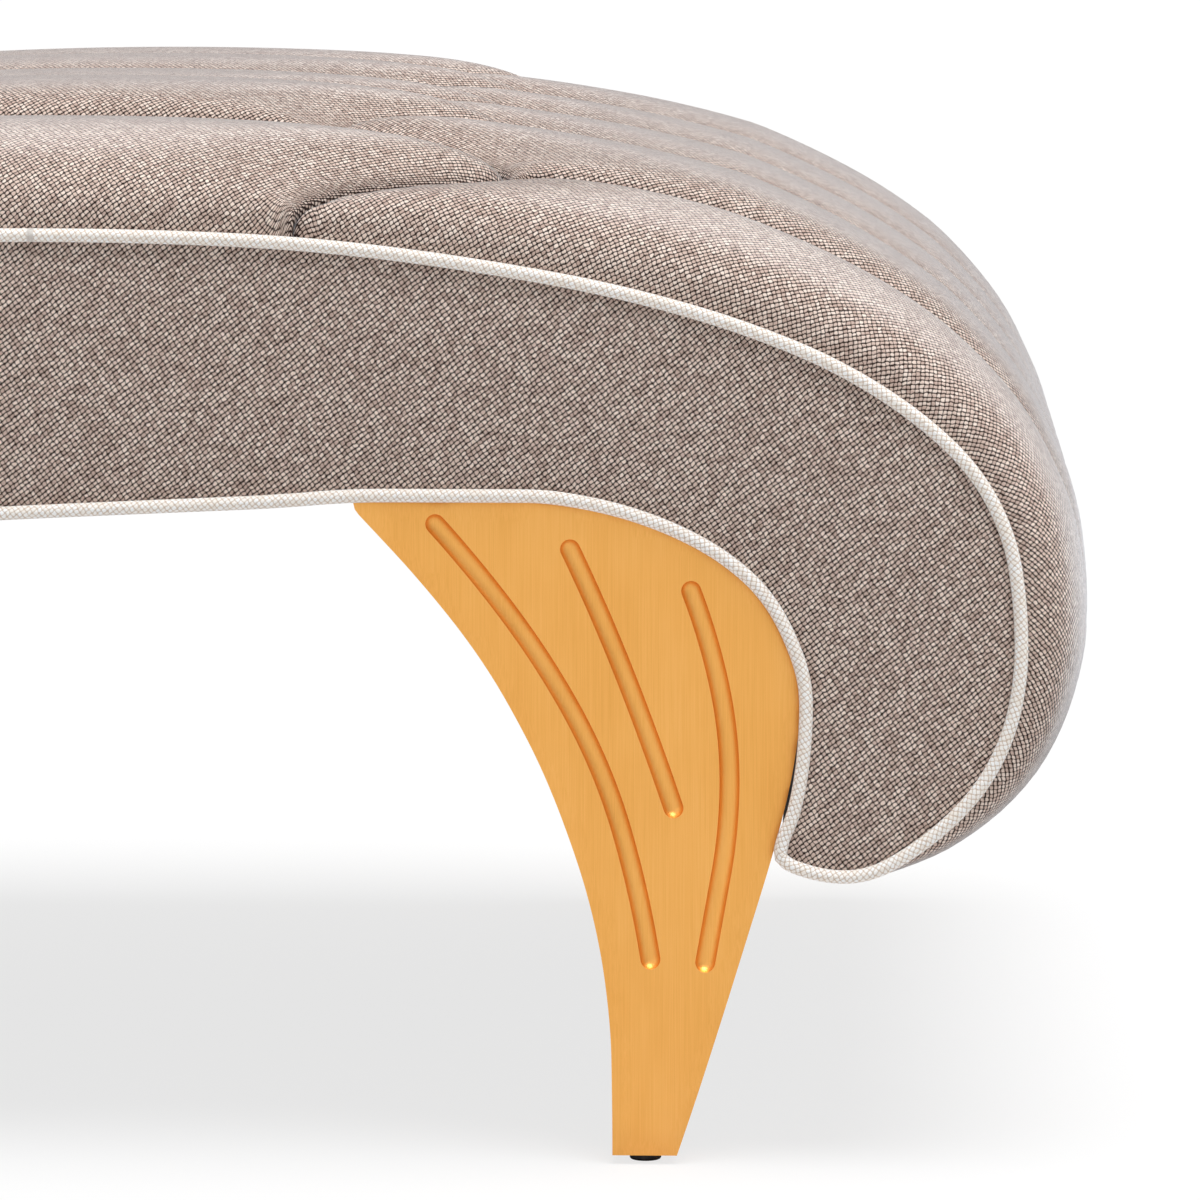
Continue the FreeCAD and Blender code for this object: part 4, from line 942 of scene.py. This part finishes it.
finer = coverSizes["netFiner"]
coverNet = netPoints(coverLine * finer, coverSizes["net"], coverSizes["netMargin"]) / finer
dustCover = platePiece("dustCover", coverLine, coverNet, coverOuter,
                       lambda p: coverOuter(p) - coverSizes["thickness"], spunBond, bend=alongSeat)
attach(dustCover, loungeBody)
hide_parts("dust_cover")
print("dust cover ready")


# Glides: a moulded pad with a rounded rim, on its threaded stem
glideSizes = {
    "radius": 0.007,
    "round": 0.001,            # rim
    "padTop": 0.0036,
    "stemRadius": 0.004,
    "stemTop": 0.026,
    "threadDepth": 0.0003,
    "threadPitch": 0.00125,
    "poleRadius": 0.0002,      # small flats close the two ends
    "rimPoints": 6,
    "sides": 40,
}
glideX = (legLine[0][0] + legLine[-1][0]) / 2
glideY = legFace - legSizes["thickness"] / 2
quarter = np.linspace(0, np.pi / 2, glideSizes["rimPoints"])
rimSine, rimCosine = glideSizes["round"] * np.sin(quarter), glideSizes["round"] * np.cos(quarter)
rimRadius = glideSizes["radius"] - glideSizes["round"]
rimTop = glideSizes["padTop"] - glideSizes["round"]
flankHeight = glideSizes["threadPitch"] / 2
flanks = np.arange(int((glideSizes["stemTop"] - glideSizes["padTop"]) / flankHeight))
profile = np.concatenate([
    [(glideSizes["poleRadius"], 0)],
    np.stack([rimRadius + rimSine, glideSizes["round"] - rimCosine], 1),
    np.stack([rimRadius + rimCosine, rimTop + rimSine], 1),
    np.stack([glideSizes["stemRadius"] - glideSizes["threadDepth"] * (flanks % 2),
              glideSizes["padTop"] + flanks * flankHeight], 1),
    [(glideSizes["stemRadius"], glideSizes["stemTop"]), (glideSizes["poleRadius"], glideSizes["stemTop"])],
])
angles = np.linspace(0, 2 * np.pi, glideSizes["sides"], endpoint=False)
radii, heights = profile[:, :1], profile[:, 1:]
rings = np.stack([radii * np.cos(angles), radii * np.sin(angles), heights + 0 * angles], -1).reshape(-1, 3)
ends = [list(range(len(angles)))[::-1], [(len(profile) - 1) * len(angles) + i for i in range(len(angles))]]
faces = gridFaces(len(profile), len(angles), 0, False, True).tolist() + ends
for end, hand, inX, inY in legCorners:
    node = "glide_%s_%s" % (end.lower(), hand.lower())
    centre = (2 * middleX - glideX if inX else glideX, glideY if inY else -glideY, 0)
    glide = meshPiece("glide" + end + hand, rings + centre, faces, polyamide)
    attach(glide, node + "_body")
    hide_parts(node)
print("glides ready")


# Materials for the nodes that stay, by their slot in the record
for entry in frame["record"]["subparts"]:
    node = frame["nodes"][entry["node"]]
    node.data.materials.clear()
    node.data.materials.append(slotMaterials[entry["material_slot"]])


# Floor, lights and camera
stageSizes = {
    "floorHalf": 30.0,
    "floorGlow": 0.768,        # paper's own light, for the camera alone
    "seenTone": 0.18,          # paper's grey for the camera: how deep its shadow is
    "bounceTone": 0.68,        # and for the light that it throws back
}
lightSizes = {
    "worldStrength": 0.38,
    "glossLeft": 1.2,          # strength of what the metal mirrors, from -X to +X
    "glossRight": 0.6,
    "keyStrength": 3.3,
    "keyAngle": 38,            # degrees: a wide source, so a soft shadow
    "keyLean": (8, 9, 0),      # degrees from straight down
}
floorMaterial, tree = newMaterial("paperFloor")
seen = addNode(tree, "ShaderNodeLightPath").outputs["Is Camera Ray"]
glow = addNode(tree, "ShaderNodeEmission", {"Color": (1, 1, 1, 1),
               "Strength": maths(tree, "MULTIPLY", seen, stageSizes["floorGlow"])})
tone = mixed(tree, seen, stageSizes["bounceTone"], stageSizes["seenTone"])
paper = addNode(tree, "ShaderNodeBsdfDiffuse", {"Color": tone})
both = addNode(tree, "ShaderNodeAddShader", {0: glow.outputs[0], 1: paper.outputs[0]})
addNode(tree, "ShaderNodeOutputMaterial", {"Surface": both.outputs[0]})
half = stageSizes["floorHalf"]
floor = meshPiece("floor", [(-half, -half, 0), (half, -half, 0), (half, half, 0), (-half, half, 0)],
                  [(0, 1, 2, 3)], floorMaterial)

world = bpy.data.worlds.new("studio")
world.use_nodes = True
tree = world.node_tree
tree.nodes.clear()
path = addNode(tree, "ShaderNodeLightPath")
direction = addNode(tree, "ShaderNodeTexCoord").outputs["Generated"]
sideways = addNode(tree, "ShaderNodeSeparateXYZ", {"Vector": direction}).outputs[0]
mirrored = addNode(tree, "ShaderNodeMapRange", {0: sideways, 1: -0.9, 2: 0.9, 3: lightSizes["glossLeft"],
                   4: lightSizes["glossRight"]}).outputs[0]
indirect = mixed(tree, path.outputs["Is Glossy Ray"], lightSizes["worldStrength"], mirrored)
strength = mixed(tree, path.outputs["Is Camera Ray"], indirect, 1.0)
back = addNode(tree, "ShaderNodeBackground", {"Color": (1, 1, 1, 1), "Strength": strength})
addNode(tree, "ShaderNodeOutputWorld", {"Surface": back.outputs[0]})
bpy.context.scene.world = world

# Key light: a wide soft source overhead, as even over the floor as over the seat
key = bpy.data.lights.new("overheadKey", "SUN")
key.energy = lightSizes["keyStrength"]
key.angle = math.radians(lightSizes["keyAngle"])
linkedObject("overheadKey", key).rotation_euler = [math.radians(lean) for lean in lightSizes["keyLean"]]

cameraSizes = {
    "location": (0.7537, -3.372, 0.6108),
    "pitch": -6.830,           # degrees
    "yaw": 2.051,
    "focalPixels": 6930,       # focal length in pixels of the photo
    "framePixels": 1200,
    "sensor": 36.0,
}
cameraData = bpy.data.cameras.new("camera")
cameraData.sensor_width = cameraSizes["sensor"]
cameraData.lens = cameraSizes["sensor"] * cameraSizes["focalPixels"] / cameraSizes["framePixels"]
camera = linkedObject("camera", cameraData)
camera.location = cameraSizes["location"]
camera.rotation_euler = (math.radians(90 + cameraSizes["pitch"]), 0, math.radians(cameraSizes["yaw"]))
bpy.context.scene.camera = camera
bpy.context.scene.view_settings.view_transform = "Standard"
print("stage ready")
